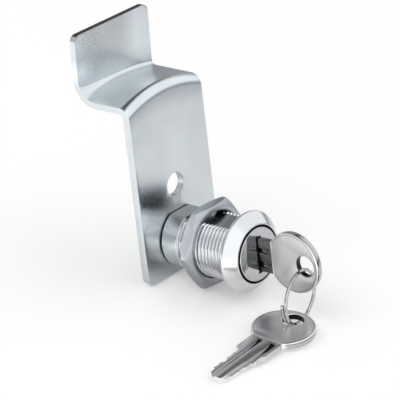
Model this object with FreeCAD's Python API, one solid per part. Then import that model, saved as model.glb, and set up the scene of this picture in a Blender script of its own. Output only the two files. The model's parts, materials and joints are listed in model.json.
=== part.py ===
import FreeCAD
import Part
import math
import os
from FreeCAD import Placement, Rotation, Vector

# Cam lock for a rack door, with its hooked cam, hexagon nut and two keys on a wire ring.
# The lock's axis is the Y axis.  The origin is on that axis, in the plane where the
# head seats on the door panel.  The head and the keys are towards -Y, the cam is at +Y
# and its hook stands up along +Z.  Every length is in millimetres, every angle in degrees.

# Clearances
RUN = 0.05            # radial clearance of a turning or sliding fit
PLAY = 0.15           # clearance round the key blade and the wafers
SEAT_GAP = 0.10       # gap between two faces that slide past each other

# Barrel
ACROSS_FLATS = 16.0   # the two flats that stop the barrel turning in its cut-out
BARREL_L = 24.8       # panel seat to rear end
THREAD_L = 19.0       # panel seat to the plain band at the rear
BAND_STEP = 0.57      # thread down to the plain band at the rear, on the radius
HEAD_D = 23.6
HEAD_LIP = 2.3        # how far the head reaches past the thread all round
HEAD_H = 3.8          # panel seat to front face
HEAD_RIM = 0.7        # straight edge of the head, before its cone
HEAD_NOSE_D = 17.7    # where the cone meets the front face
FLAT_WALL = 1.35      # wall between the bore and a flat
GROOVE_DEPTH = 0.6    # the two grooves that the wafers lock into
GROOVE_END = 15.0     # how far the grooves reach behind the panel seat

# Plug
FACE_D = 15.6
FACE_H = 2.75
FACE_OUT = 0.25       # how far the plug's face stands out of the head
FACE_GAP = 0.55       # the dark ring round the plug's face
FACE_EDGE = 0.20      # bevel round the plug's face
STEM_SIDE = 7.0       # square stem that drives the cam
STEM_SHORT = 0.25     # how far the stem ends inside the cam's rear face
KEYWAY_SHIFT = 0.5    # keyway beside the lock's axis
KEYWAY_PAST = 0.6     # keyway beyond the key's tip

# Wafers and their springs
WAFER_COUNT = 5
WAFER_PITCH = 2.9
WAFER_T = 1.4
WAFER_W = 5.8
WAFER_LUG = 1.5       # side lug that the spring pushes
WAFER_LUG_H = 1.5
SPRING_D = 1.2
SPRING_BORE = 0.6
SPRING_L = 3.4
WAFER_LIFT = 0.55     # how far a wafer springs out when the key is drawn

# Quarter-turn stop
STOP_T = 2.4
STOP_REACH = 0.7      # how far the tab stands out past the bore
STOP_TAB_DEG = 40.0
TURN_DEG = 90.0
STOP_PLAY_DEG = 1.0

# Hexagon nut
NUT_INSIDE_HEAD = 0.17    # how far the nut's flats stand inside the rim of the head
NUT_T = 4.0
NUT_AT = 10.8         # panel seat to the nut's front face
NUT_CHAMFER = 0.5

# Cam plate with its joggled hook
CAM_T = 2.35
CAM_W = 30.6
CAM_BELOW = 10.27     # axis to the lower edge
CAM_TOP = 62.35       # axis to the top of the hook
CAM_CORNER = 2.5
TIP_CORNER = 2.2
SHELF_TOP = 46.9      # axis to the crown of the arched shelf
SHELF_ARCH_R = 38.0
CREASE_DROP = 1.8     # how much lower the crown is behind the tip, where the arch is flatter
SHELF_T = 1.9         # the drawn shelf and tip are a little thinner than the plate
TIP_SET_BACK = 18.2   # front face of the plate to the foot of the tip
TIP_LEAN = 2.6        # the tip leans forward, towards the plate's front
BEND_R = 3.4          # outside of the bend between plate and shelf
INNER_BEND_R = 1.3    # and inside it
TIP_BEND_LEFT_R = 5.7     # inside of the bend at the foot of the tip, at its -X end
TIP_BEND_RIGHT_R = 1.6    # and at its +X end
CAM_HOLE_D = 6.9
CAM_HOLE_UP = 15.65
STEM_FIT = 0.10       # gap on each side of the square hole

# Washers and cam screw
WASHER_D = 12.0
WASHER_T = 1.0
SPRING_WASHER_D = 9.2
SPRING_WASHER_T = 1.3
SPRING_WASHER_SLIT = 0.8
SCREW_D = 5.0
SCREW_L = 11.0
SCREW_HEAD_D = 9.5
SCREW_HEAD_H = 3.0
SCREW_SLOT_W = 1.2
SCREW_SLOT_L = 5.4
SCREW_SLOT_DEPTH = 1.6

# Keys
BOW_D = 18.0
BOW_T = 2.0
BOW_EDGE = 0.3        # bevel round the bow
BOW_HOLE_D = 6.1
BOW_HOLE_IN = 4.6     # far end of the bow to the centre of its hole
STANDOFF = 5.03       # shoulder to the plug's face with the key home
BLADE_W = 9.9
BLADE_T = 1.6
FIRST_CUT = 26.0      # far end of the bow to the first cut
NECK_RAMP = 1.2
CUT_FLAT = 1.5
CUT_STEP = 0.45
CUT_LAND = 0.3        # how far the lands stand above the cuts beside them
CODE_TOP = (4, 4, 5, 4, 5)
CODE_BOTTOM = (2, 4, 5, 5, 6)
TIP_LENGTH = 1.3
TIP_W = 2.4
KEY_GROOVES = ((1.5, 1.5), (-2.8, 2.0))   # height on the blade and width of each groove
KEY_GROOVE_DEPTH = 0.6
KEY_GROOVE_START = 17.4
KEY_GROOVE_RUNOUT = 2.6

# Wire ring, and the second key that lies on it
WIRE_D = 1.0
RING_D = 15.7         # diameter of the wire's centre line
RING_PITCH = 1.1
RING_TURNS = 1.2
RING_SPANS = 4        # spans of two arcs each that the wire is bent in
RING_TURN_DEG = 6.9   # the ring's axis, turned from -Y towards +X
RING_TIP_DEG = 4.5    # and tipped down
HANG_DEG = 22.5       # from the ring's top to where it passes the first key
HANG_DROP = 1.45      # below the centre of that key's hole
HANG_BACK = 1.0       # and towards the lock
LIE_DEG = 217.0       # from the ring's top to where it passes the second key
LIE_SHIFT = 1.0       # from the centre of that key's hole towards its blade
KEY_2_YAW = 2.8
KEY_2_PITCH = -2.4
KEY_2_ROLL = 7.8
STUB_DEG = 85.0       # from the ring's top to the loose end of the wire

# Sizes and places that follow from the sizes above
THREAD_D = HEAD_D - 2 * HEAD_LIP
BAND_D = THREAD_D - 2 * BAND_STEP
BORE_R = ACROSS_FLATS / 2 - FLAT_WALL
PLUG_R = BORE_R - RUN
FRONT_Y = -HEAD_H
FACE_Y = FRONT_Y - FACE_OUT
FACE_SEAT_Y = FACE_Y + FACE_H
STOP_Y = BARREL_L - SEAT_GAP - STOP_T
NUT_AF = HEAD_D - 2 * NUT_INSIDE_HEAD
CAM_Y = BARREL_L + SEAT_GAP
CAM_BACK_Y = CAM_Y + CAM_T
STEM_END_Y = CAM_BACK_Y - STEM_SHORT
TIP_Y = CAM_Y + TIP_SET_BACK
TIP_BACK_Y = TIP_Y + SHELF_T
SCREW_SEAT_Y = CAM_BACK_Y + WASHER_T + SPRING_WASHER_T
SHELF_SIDE_Z = SHELF_TOP - SHELF_ARCH_R + math.sqrt(SHELF_ARCH_R ** 2 - CAM_W ** 2 / 4)
BLADE_HALF = BLADE_W / 2
# Where the blade's edges leave the bow
SHOULDER = BOW_D / 2 + math.sqrt((BOW_D / 2) ** 2 - BLADE_HALF ** 2)
KEY_END_Y = FACE_Y - STANDOFF - SHOULDER
KEY_L = FIRST_CUT + (WAFER_COUNT - 1) * WAFER_PITCH + CUT_FLAT / 2 + TIP_LENGTH
KEYWAY_END_Y = KEY_END_Y + KEY_L + KEYWAY_PAST
WINDOW_HALF = BLADE_HALF - CUT_STEP * min(CODE_TOP + CODE_BOTTOM) + CUT_LAND + PLAY
FAR = 100.0           # larger than the whole lock, for cutting
OVER = 1.0            # how far a cut passes the face it opens


def cylinder(diameter, y0, y1, x=0.0, z=0.0):
    return Part.makeCylinder(diameter / 2, y1 - y0, Vector(x, y0, z), Vector(0, 1, 0))


def box(x0, x1, y0, y1, z0, z1):
    return Part.makeBox(x1 - x0, y1 - y0, z1 - z0, Vector(x0, y0, z0))


def turned(profile):
    """Solid turned about the lock's axis from (radius, y) points."""
    points = [Vector(r, y, 0) for r, y in profile]
    face = Part.Face(Part.makePolygon(points + [points[0]]))
    return face.revolve(Vector(0, 0, 0), Vector(0, 1, 0), 360)


def sector(r_out, y0, y1, start_deg, span_deg):
    """Pie piece about the lock's axis; angles run from +X towards +Z."""
    pie = Part.makeCylinder(r_out, y1 - y0, Vector(0, 0, 0), Vector(0, 0, 1), span_deg)
    pie.Placement = Placement(Vector(0, y1, 0), Rotation(Vector(1, 0, 0), 90))
    pie.rotate(Vector(0, 0, 0), Vector(0, -1, 0), start_deg)
    return pie


def rounded_bar(width, z0, z1, y0, y1, corner, round_top, round_bottom):
    """Flat bar across the Y axis whose chosen end corners are rounded."""
    bar = box(-width / 2, width / 2, y0, y1, z0, z1)
    edges = []
    for edge in bar.Edges:
        middle = edge.CenterOfMass
        across = abs(abs(middle.x) - width / 2) < 0.001 and edge.Length < (y1 - y0) + 0.001
        at_top = abs(middle.z - z1) < 0.001
        at_bottom = abs(middle.z - z0) < 0.001
        if across and ((at_top and round_top) or (at_bottom and round_bottom)):
            edges.append(edge)
    return bar.makeFillet(corner, edges)


def wafer_y(index):
    return KEY_END_Y + FIRST_CUT + index * WAFER_PITCH


def make_barrel():
    body = turned([(0, 0), (THREAD_D / 2, 0), (THREAD_D / 2, THREAD_L),
                   (BAND_D / 2, THREAD_L + BAND_STEP), (BAND_D / 2, BARREL_L), (0, BARREL_L)])
    flats = box(-FAR, FAR, -FAR, FAR, -ACROSS_FLATS / 2, ACROSS_FLATS / 2)
    body = body.common(flats)
    head = turned([(0, 0), (HEAD_D / 2, 0), (HEAD_D / 2, -HEAD_RIM),
                   (HEAD_NOSE_D / 2, FRONT_Y), (0, FRONT_Y)])
    barrel = body.fuse(head)
    barrel = barrel.cut(cylinder(FACE_D + 2 * FACE_GAP, FRONT_Y - OVER, FACE_SEAT_Y + SEAT_GAP / 2))
    barrel = barrel.cut(cylinder(2 * BORE_R, FRONT_Y, BARREL_L + OVER))
    groove_r = BORE_R + GROOVE_DEPTH
    half = WAFER_W / 2 + PLAY
    grooves = cylinder(2 * groove_r, FACE_SEAT_Y, GROOVE_END).common(box(-half, half, -FAR, FAR, -FAR, FAR))
    barrel = barrel.cut(grooves)
    span = STOP_TAB_DEG + TURN_DEG + 2 * STOP_PLAY_DEG
    start = 180 - STOP_TAB_DEG / 2 - STOP_PLAY_DEG - TURN_DEG
    window = sector(BORE_R + STOP_REACH + RUN, STOP_Y - SEAT_GAP / 2, BARREL_L + OVER, start, span)
    return barrel.cut(window).removeSplitter()


def make_nut():
    corner_r = NUT_AF / 2 / math.cos(math.radians(30))
    back = NUT_AT + NUT_T
    points = []
    for step in range(7):
        angle = math.radians(60 * step)
        points.append(Vector(corner_r * math.cos(angle), NUT_AT, corner_r * math.sin(angle)))
    prism = Part.Face(Part.makePolygon(points)).extrude(Vector(0, NUT_T, 0))
    slope = (corner_r - NUT_AF / 2 + NUT_CHAMFER) * math.tan(math.radians(30))
    land_r = NUT_AF / 2 - NUT_CHAMFER
    blank = turned([(0, NUT_AT), (land_r, NUT_AT), (corner_r, NUT_AT + slope),
                    (corner_r, back - slope), (land_r, back), (0, back)])
    hole_r = THREAD_D / 2 + RUN
    mouth_r = hole_r + NUT_CHAMFER
    hole = turned([(0, NUT_AT), (mouth_r, NUT_AT), (hole_r, NUT_AT + NUT_CHAMFER),
                   (hole_r, back - NUT_CHAMFER), (mouth_r, back), (0, back)])
    return prism.common(blank).cut(hole)


def wafer_side(index):
    """The wafers spring out by turns upwards and downwards."""
    return 1 if index % 2 == 0 else -1


def wafer_room(index, clearance, lift):
    """Room for one wafer with its lug and its lift, or the wafer itself with neither."""
    y = wafer_y(index)
    side = wafer_side(index)
    half_t = WAFER_T / 2 + clearance
    half_w = WAFER_W / 2 + clearance
    plate = box(-half_w, half_w, y - half_t, y + half_t, -FAR, FAR)
    low = -side * clearance
    high = side * (WAFER_LUG_H + lift + clearance)
    lug = box(0, half_w + WAFER_LUG, y - half_t, y + half_t, min(low, high), max(low, high))
    return plate.fuse(lug)


def spring_room(index, diameter, length):
    x = WAFER_W / 2 + WAFER_LUG / 2
    down = Vector(0, 0, -wafer_side(index))
    return Part.makeCylinder(diameter / 2, length, Vector(x, wafer_y(index), 0), down)


def make_plug():
    plug = turned([(0, FACE_Y), (FACE_D / 2 - FACE_EDGE, FACE_Y), (FACE_D / 2, FACE_Y + FACE_EDGE),
                   (FACE_D / 2, FACE_SEAT_Y), (PLUG_R, FACE_SEAT_Y), (PLUG_R, STOP_Y), (0, STOP_Y)])
    side = STEM_SIDE / 2
    plug = plug.fuse(box(-side, side, STOP_Y, STEM_END_Y, -side, side))
    slot_half = BLADE_T / 2 + PLAY
    slot_top = BLADE_HALF + 2 * PLAY
    plug = plug.cut(box(KEYWAY_SHIFT - slot_half, KEYWAY_SHIFT + slot_half,
                        FACE_Y - OVER, KEYWAY_END_Y, -slot_top, slot_top))
    for index in range(WAFER_COUNT):
        plug = plug.cut(wafer_room(index, RUN, WAFER_LIFT))
        plug = plug.cut(spring_room(index, SPRING_D + 2 * PLAY, SPRING_L + RUN))
    screw_end_y = SCREW_SEAT_Y - SCREW_L
    plug = plug.cut(cylinder(SCREW_D + 2 * RUN, screw_end_y - OVER, FAR))
    return plug.removeSplitter()


def make_wafer(index):
    wafer = wafer_room(index, 0.0, 0.0).common(cylinder(2 * (PLUG_R - PLAY), -FAR, FAR))
    half = BLADE_T / 2 + PLAY
    window = box(KEYWAY_SHIFT - half, KEYWAY_SHIFT + half, -FAR, FAR, -WINDOW_HALF, WINDOW_HALF)
    return wafer.cut(window)


def make_wafer_spring(index):
    return spring_room(index, SPRING_D, SPRING_L).cut(spring_room(index, SPRING_BORE, SPRING_L))


def make_stop_disc():
    y1 = STOP_Y + STOP_T
    disc = cylinder(2 * PLUG_R - 2 * RUN, STOP_Y, y1)
    tab = sector(BORE_R + STOP_REACH - RUN, STOP_Y, y1, 180 - STOP_TAB_DEG / 2, STOP_TAB_DEG)
    side = STEM_SIDE / 2 + STEM_FIT
    return disc.fuse(tab).cut(box(-side, side, STOP_Y - OVER, y1 + OVER, -side, side)).removeSplitter()


def crown_height(y):
    """Height of the shelf's crown, which falls evenly from the plate's front to the tip's back."""
    return SHELF_TOP - CREASE_DROP * (y - CAM_Y) / (TIP_BACK_Y - CAM_Y)


def below_shelf(drop):
    """Room below the shelf's arched top, or below a like surface a little lower, wider than the cam."""
    half = CAM_W / 2
    wide = half + OVER
    wires = []
    for y in (CAM_Y, TIP_BACK_Y + OVER):
        crown = crown_height(y)
        radius = (half ** 2 + (crown - SHELF_SIDE_Z) ** 2) / (2 * (crown - SHELF_SIDE_Z))
        end_z = crown - radius + math.sqrt(radius ** 2 - wide ** 2) - drop
        left, right = Vector(-wide, y, end_z), Vector(wide, y, end_z)
        low_left, low_right = Vector(-wide, y, -drop), Vector(wide, y, -drop)
        over = Part.Arc(left, Vector(0, y, crown - drop), right).toShape()
        wires.append(Part.Wire([over, Part.makeLine(right, low_right), Part.makeLine(low_right, low_left),
                                Part.makeLine(low_left, left)]))
    return Part.makeLoft(wires, True, True)


def tip_face_y(z, depth):
    """Where the leaning tip's front face, or a face behind it, crosses a height."""
    lean = math.radians(TIP_LEAN)
    return TIP_Y + depth / math.cos(lean) + (SHELF_TOP - z) * math.tan(lean)


def crown_edge(shape, y, z):
    """The arched edge whose crown, in the middle of its length, is at the given place."""
    crown = Vector(0, y, z)
    found = []
    for edge in shape.Edges:
        middle = edge.valueAt((edge.FirstParameter + edge.LastParameter) / 2)
        if middle.distanceToPoint(crown) < SHELF_T / 10:
            found.append(edge)
    return found


def uneven_bend(shape, edges, left_r, right_r):
    """Rounds an arched edge with a radius that changes evenly from its -X end to its +X end."""
    edge = edges[0]
    starts_left = edge.valueAt(edge.FirstParameter).x < 0
    first, last = (left_r, right_r) if starts_left else (right_r, left_r)
    return shape.makeFillet(first, last, edges)


def make_cam():
    half = CAM_W / 2
    foot = rounded_bar(CAM_W, -CAM_BELOW, 0, CAM_Y, CAM_BACK_Y, CAM_CORNER, False, True)
    below_top = below_shelf(0)
    below_under = below_shelf(SHELF_T)
    plate = below_top.common(box(-half, half, CAM_Y, CAM_BACK_Y, 0, FAR))
    shelf = below_top.cut(below_under).common(box(-half, half, CAM_Y, TIP_BACK_Y, 0, FAR))
    tip_z = SHELF_SIDE_Z - 2 * SHELF_T
    tip = rounded_bar(CAM_W, tip_z, CAM_TOP, TIP_Y, TIP_BACK_Y, TIP_CORNER, True, False)
    tip.rotate(Vector(0, TIP_Y, SHELF_TOP), Vector(1, 0, 0), TIP_LEAN)
    tip = tip.cut(below_under)
    cam = foot.fuse(plate).fuse(shelf).fuse(tip).removeSplitter()
    cam = cam.makeFillet(BEND_R, crown_edge(cam, CAM_Y, SHELF_TOP))
    cam = cam.makeFillet(INNER_BEND_R, crown_edge(cam, CAM_BACK_Y, crown_height(CAM_BACK_Y) - SHELF_T))
    foot_y = tip_face_y(crown_height(TIP_Y), 0)
    heel_z = crown_height(TIP_BACK_Y) - SHELF_T
    crease = crown_edge(cam, foot_y, crown_height(foot_y))
    cam = uneven_bend(cam, crease, TIP_BEND_LEFT_R, TIP_BEND_RIGHT_R)
    heel = crown_edge(cam, tip_face_y(heel_z, SHELF_T), heel_z)
    cam = uneven_bend(cam, heel, TIP_BEND_LEFT_R + SHELF_T, TIP_BEND_RIGHT_R + SHELF_T)
    side = STEM_SIDE / 2 + STEM_FIT
    cam = cam.cut(box(-side, side, CAM_Y - OVER, CAM_BACK_Y + OVER, -side, side))
    return cam.cut(cylinder(CAM_HOLE_D, CAM_Y - OVER, CAM_BACK_Y + OVER, z=CAM_HOLE_UP))


def ring_washer(outer, y0, thickness):
    y1 = y0 + thickness
    return cylinder(outer, y0, y1).cut(cylinder(SCREW_D + 4 * RUN, y0 - OVER, y1 + OVER))


def make_spring_washer():
    y0 = CAM_BACK_Y + WASHER_T
    washer = ring_washer(SPRING_WASHER_D, y0, SPRING_WASHER_T)
    slit = SPRING_WASHER_SLIT / 2
    return washer.cut(box(-slit, slit, y0 - OVER, y0 + SPRING_WASHER_T + OVER, 0, FAR))


def make_screw():
    y0 = SCREW_SEAT_Y
    head_r = SCREW_HEAD_D / 2
    edge = SCREW_HEAD_H / 3
    y1 = y0 + SCREW_HEAD_H
    screw = turned([(0, y0 - SCREW_L), (SCREW_D / 2, y0 - SCREW_L), (SCREW_D / 2, y0), (head_r, y0),
                    (head_r, y1 - edge), (head_r - edge, y1), (0, y1)])
    long = SCREW_SLOT_L / 2
    wide = SCREW_SLOT_W / 2
    screw = screw.cut(box(-long, long, y1 - SCREW_SLOT_DEPTH, y1 + OVER, -wide, wide))
    return screw.cut(box(-wide, wide, y1 - SCREW_SLOT_DEPTH, y1 + OVER, -long, long))


def edge_line(code, side):
    """One long edge of the blade, from the neck to the tip, as (along, across) points."""
    heights = [BLADE_HALF - CUT_STEP * cut for cut in code]
    half = CUT_FLAT / 2
    line = [(FIRST_CUT - half - NECK_RAMP, side * BLADE_HALF)]
    for index, height in enumerate(heights):
        at = FIRST_CUT + index * WAFER_PITCH
        line.append((at - half, side * height))
        line.append((at + half, side * height))
        if index + 1 < len(heights):
            land = max(height, heights[index + 1]) + CUT_LAND
            line.append((at + WAFER_PITCH / 2, side * land))
    line.append((KEY_L, side * TIP_W / 2))
    return line


def make_key():
    """Key in its own frame: X from the far end of the bow to the tip, Y across, Z through."""
    edge = BOW_EDGE
    r = BOW_D / 2
    centre = Vector(r, 0, 0)
    points = [Vector(0, 0, 0), Vector(r - edge, 0, 0), Vector(r, 0, edge),
              Vector(r, 0, BOW_T - edge), Vector(r - edge, 0, BOW_T), Vector(0, 0, BOW_T)]
    bow = Part.Face(Part.makePolygon(points + [points[0]])).revolve(Vector(0, 0, 0), Vector(0, 0, 1), 360)
    bow.translate(centre)
    bow = bow.common(Part.makeBox(SHOULDER, BOW_D, BOW_T, Vector(0, -r, 0)))
    step = (BOW_T - BLADE_T) / 2
    outline = [(SHOULDER - step, BLADE_HALF)] + edge_line(CODE_TOP, 1)
    outline += reversed([(SHOULDER - step, -BLADE_HALF)] + edge_line(CODE_BOTTOM, -1))
    corners = [Vector(x, y, step) for x, y in outline]
    blade = Part.Face(Part.makePolygon(corners + [corners[0]])).extrude(Vector(0, 0, BLADE_T))
    for height, width in KEY_GROOVES:
        start = KEY_GROOVE_START
        deep = step + KEY_GROOVE_DEPTH
        ramp_end = start + KEY_GROOVE_RUNOUT
        side = [(start, step), (ramp_end, deep), (FAR, deep), (FAR, 0), (start, 0), (start, step)]
        corners = [Vector(x, height - width / 2, z) for x, z in side]
        blade = blade.cut(Part.Face(Part.makePolygon(corners)).extrude(Vector(0, width, 0)))
    key = bow.fuse(blade)
    hole = Part.makeCylinder(BOW_HOLE_D / 2, BOW_T + 2 * OVER, Vector(BOW_HOLE_IN, 0, -OVER))
    return key.cut(hole).removeSplitter()


def key_1_place():
    """Key upright in the keyway, its grooved face towards -X."""
    turn = Placement(Vector(0, 0, 0), Rotation(Vector(0, 1, 0), Vector(0, 0, 1), Vector(1, 0, 0), "XYZ"))
    shift = Placement(Vector(KEYWAY_SHIFT - BOW_T / 2, KEY_END_Y, 0), Rotation())
    return shift.multiply(turn)


def ring_axes():
    """Centre of the ring, and its rightward, upward and axial directions."""
    turn = Rotation(Vector(0, 0, 1), RING_TURN_DEG).multiply(Rotation(Vector(1, 0, 0), RING_TIP_DEG))
    right = turn.multVec(Vector(1, 0, 0))
    up = turn.multVec(Vector(0, 0, 1))
    axis = turn.multVec(Vector(0, -1, 0))
    hang = Vector(KEYWAY_SHIFT, KEY_END_Y + BOW_HOLE_IN + HANG_BACK, -HANG_DROP)
    centre = hang - on_ring(right, up, HANG_DEG)
    return centre, right, up, axis


def on_ring(right, up, degrees):
    angle = math.radians(degrees)
    return right * (RING_D / 2 * math.sin(angle)) + up * (RING_D / 2 * math.cos(angle))


def key_2_place():
    """Key lying down with the ring through its hole, its grooved face up."""
    centre, right, up, axis = ring_axes()
    lie = Rotation(KEY_2_YAW, KEY_2_PITCH, KEY_2_ROLL).multiply(
        Rotation(Vector(-1, 0, 0), Vector(0, 1, 0), Vector(0, 0, -1), "XYZ"))
    wire = centre + on_ring(right, up, LIE_DEG)
    at = wire - lie.multVec(Vector(BOW_HOLE_IN + LIE_SHIFT, 0, BOW_T / 2))
    return Placement(at, lie)


def tangent_arc(start, control, end):
    """Arc from start to end whose tangents at both ends meet at the control point."""
    middle = (start + end) / 2
    half_chord = (end - start).Length / 2
    outward = control - middle
    half_turn = math.atan2(outward.Length, half_chord)
    top = middle + outward.normalize() * (half_chord * math.tan(half_turn / 2))
    return Part.Arc(start, top, end).toShape()


def two_arcs(start, start_tangent, end, end_tangent):
    """Two arcs that meet smoothly and leave each end along its tangent."""
    chord = end - start
    a = 2 * (1 - start_tangent.dot(end_tangent))
    b = 2 * chord.dot(start_tangent + end_tangent)
    reach = (math.sqrt(b * b + 4 * a * chord.dot(chord)) - b) / (2 * a)
    first = start + start_tangent * reach
    last = end - end_tangent * reach
    joint = (first + last) / 2
    return [tangent_arc(start, first, joint), tangent_arc(joint, last, end)]


def make_ring():
    """One wire wound a little more than once round, so that its ends lie side by side."""
    centre, right, up, axis = ring_axes()
    step = RING_TURNS / RING_SPANS
    points = []
    tangents = []
    for index in range(RING_SPANS + 1):
        turned = index * step
        degrees = -STUB_DEG - 360 * turned
        along = axis * (RING_PITCH * (turned - RING_TURNS / 2))
        points.append(centre + on_ring(right, up, degrees) + along)
        way = on_ring(right, up, degrees - 90) * (2 * math.pi) + axis * RING_PITCH
        tangents.append(way.normalize())
    arcs = []
    for index in range(RING_SPANS):
        arcs += two_arcs(points[index], tangents[index], points[index + 1], tangents[index + 1])
    section = Part.makeCircle(WIRE_D / 2, points[0], tangents[0])
    return Part.Wire(arcs).makePipeShell([Part.Wire(section)], True, False)


def export(name, shape):
    shape.exportStep("parts/" + name + ".step")
    print(name, "solids", len(shape.Solids), "valid", shape.isValid(), "volume", round(shape.Volume, 2))


def main():
    os.makedirs("parts", exist_ok=True)
    export("barrel", make_barrel())
    export("hex_nut", make_nut())
    export("plug", make_plug())
    for index in range(WAFER_COUNT):
        export("wafer_" + str(index + 1), make_wafer(index))
        export("wafer_spring_" + str(index + 1), make_wafer_spring(index))
    export("stop_disc", make_stop_disc())
    export("cam_plate", make_cam())
    export("cam_washer", ring_washer(WASHER_D, CAM_BACK_Y, WASHER_T))
    export("spring_washer", make_spring_washer())
    export("cam_screw", make_screw())
    key_1 = make_key()
    key_2 = key_1.copy()
    key_1.Placement = key_1_place()
    key_2.Placement = key_2_place()
    export("key_1", key_1)
    export("key_2", key_2)
    export("key_ring", make_ring())


main()
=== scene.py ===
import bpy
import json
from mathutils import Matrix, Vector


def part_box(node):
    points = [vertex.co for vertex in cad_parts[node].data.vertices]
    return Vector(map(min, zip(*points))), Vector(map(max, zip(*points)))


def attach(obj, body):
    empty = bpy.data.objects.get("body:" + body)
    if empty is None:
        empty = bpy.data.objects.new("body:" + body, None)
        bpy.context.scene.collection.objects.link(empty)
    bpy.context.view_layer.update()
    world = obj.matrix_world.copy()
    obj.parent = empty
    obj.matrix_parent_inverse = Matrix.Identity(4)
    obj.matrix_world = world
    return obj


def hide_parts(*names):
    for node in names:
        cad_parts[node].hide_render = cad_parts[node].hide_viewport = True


bl_info = {
    "name": "Hook cam lock",
    "version": (1, 0, 0),
    "blender": (4, 5, 0),
    "location": "3D View > Sidebar > Cam Lock",
    "description": "Builds the visible pieces of a cam lock with a hooked cam plate and two keys",
    "category": "Add Mesh",
}

import json
import math
import bpy
import bmesh
from mathutils import Matrix, Vector

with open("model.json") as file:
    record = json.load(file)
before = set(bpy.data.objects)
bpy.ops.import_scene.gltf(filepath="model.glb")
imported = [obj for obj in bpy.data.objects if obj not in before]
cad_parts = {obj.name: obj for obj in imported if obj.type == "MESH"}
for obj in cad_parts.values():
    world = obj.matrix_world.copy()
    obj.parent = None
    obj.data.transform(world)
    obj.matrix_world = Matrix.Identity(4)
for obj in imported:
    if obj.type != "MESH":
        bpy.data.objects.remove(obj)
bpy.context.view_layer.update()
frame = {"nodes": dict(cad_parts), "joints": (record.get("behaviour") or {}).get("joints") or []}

MM = 0.001
FULL_TURN = 2 * math.pi
SMOOTH_DEG = 32.0

# Depth of each cut in a key's two edges, in steps
TOP_CODE, BOTTOM_CODE = (4, 4, 5, 4, 5), (2, 4, 5, 5, 6)
WAFERS = len(TOP_CODE)
# Height on a key's blade and width of each milled groove
KEY_GROOVES = ((1.5 * MM, 1.5 * MM), (-2.8 * MM, 2.0 * MM))


# Properties

def size(name, description, millimetres):
    """A length that a user may change, given in millimetres and held in metres."""
    return bpy.props.FloatProperty(name=name, description=description, default=millimetres * MM,
                                   unit="LENGTH", precision=5)


def share(name, description, value):
    """A number from 0 to 1."""
    return bpy.props.FloatProperty(name=name, description=description, default=value, min=0.0, max=1.0,
                                   subtype="FACTOR")


def turn(name, description, degrees):
    """An angle, given in degrees and held in radians."""
    return bpy.props.FloatProperty(name=name, description=description, default=math.radians(degrees),
                                   subtype="ANGLE", unit="ROTATION")


def colour(name, description, red, green, blue):
    """An opaque colour in linear light."""
    return bpy.props.FloatVectorProperty(name=name, description=description, default=(red, green, blue, 1.0),
                                         size=4, min=0.0, max=1.0, subtype="COLOR")


class BarrelSizes(bpy.types.PropertyGroup):
    """Threaded barrel with its head and bore"""
    thread_d: size("Thread diameter", "Outside diameter of the barrel's thread", 19.0)
    across_flats: size("Across flats", "Distance between the barrel's two flats", 16.0)
    thread_end: size("Thread end", "Panel seat to the end of the thread", 19.0)
    pitch: size("Thread pitch", "Distance from one crest to the next", 1.25)
    depth: size("Thread depth", "Crest to root", 0.70)
    undercut: size("Undercut", "Panel seat to where the thread starts", 1.15)
    band_d: size("Band diameter", "Plain band behind the thread", 17.86)
    rear_chamfer: size("Rear chamfer", "Chamfer at the rear end of the band", 0.45)
    head_rim: size("Head rim", "Straight edge of the head before its cone", 0.7)
    nose_d: size("Nose diameter", "Where the head's cone meets its front face", 17.7)
    recess_d: size("Recess diameter", "Round seat for the plug's face", 16.7)
    recess_depth: size("Recess depth", "Front face to the seat of the plug's face", 2.55)
    bore_d: size("Bore diameter", "Bore that the plug turns in", 13.3)
    groove_depth: size("Groove depth", "Two grooves that the wafers lock into", 0.6)
    groove_w: size("Groove width", "Width of those grooves", 6.1)
    groove_end: size("Groove end", "Panel seat to the end of the grooves", 15.0)
    window_at: size("Stop window", "Panel seat to the window that the stop's tab runs in", 22.25)
    window_depth: size("Window depth", "Depth of that window beyond the bore", 0.75)


class NutSizes(bpy.types.PropertyGroup):
    """Hexagon nut"""
    bore_d: size("Bore diameter", "Bore over the barrel's thread", 19.1)
    chamfer: size("Chamfer", "Chamfer on the corners and at the bore's mouths", 0.5)


class PlugSizes(bpy.types.PropertyGroup):
    """Plug that the key turns"""
    face_d: size("Face diameter", "Polished face of the plug", 15.6)
    face_h: size("Face height", "Thickness of the plug's flange", 2.75)
    edge: size("Face edge", "Rounding at the rim of the face", 0.24)
    core_d: size("Core diameter", "Part of the plug that runs in the bore", 13.2)
    core_end: size("Core end", "Panel seat to the end of the round core", 22.3)
    stem: size("Stem", "Side of the square stem that drives the cam", 7.0)
    keyway_x: size("Keyway shift", "Keyway beside the lock's axis", 0.5)
    keyway_w: size("Keyway width", "Width of the keyway", 1.9)
    keyway_h: size("Keyway height", "Height of the keyway", 10.5)
    # Width of the painted shade beside the keyway.
    mouth: size("Keyway mouth", "Dark film beside the keyway, on its left and below it", 0.28)
    ward: size("Ward height", "Height of the two wards that reach into the key's grooves", 0.5)


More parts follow.
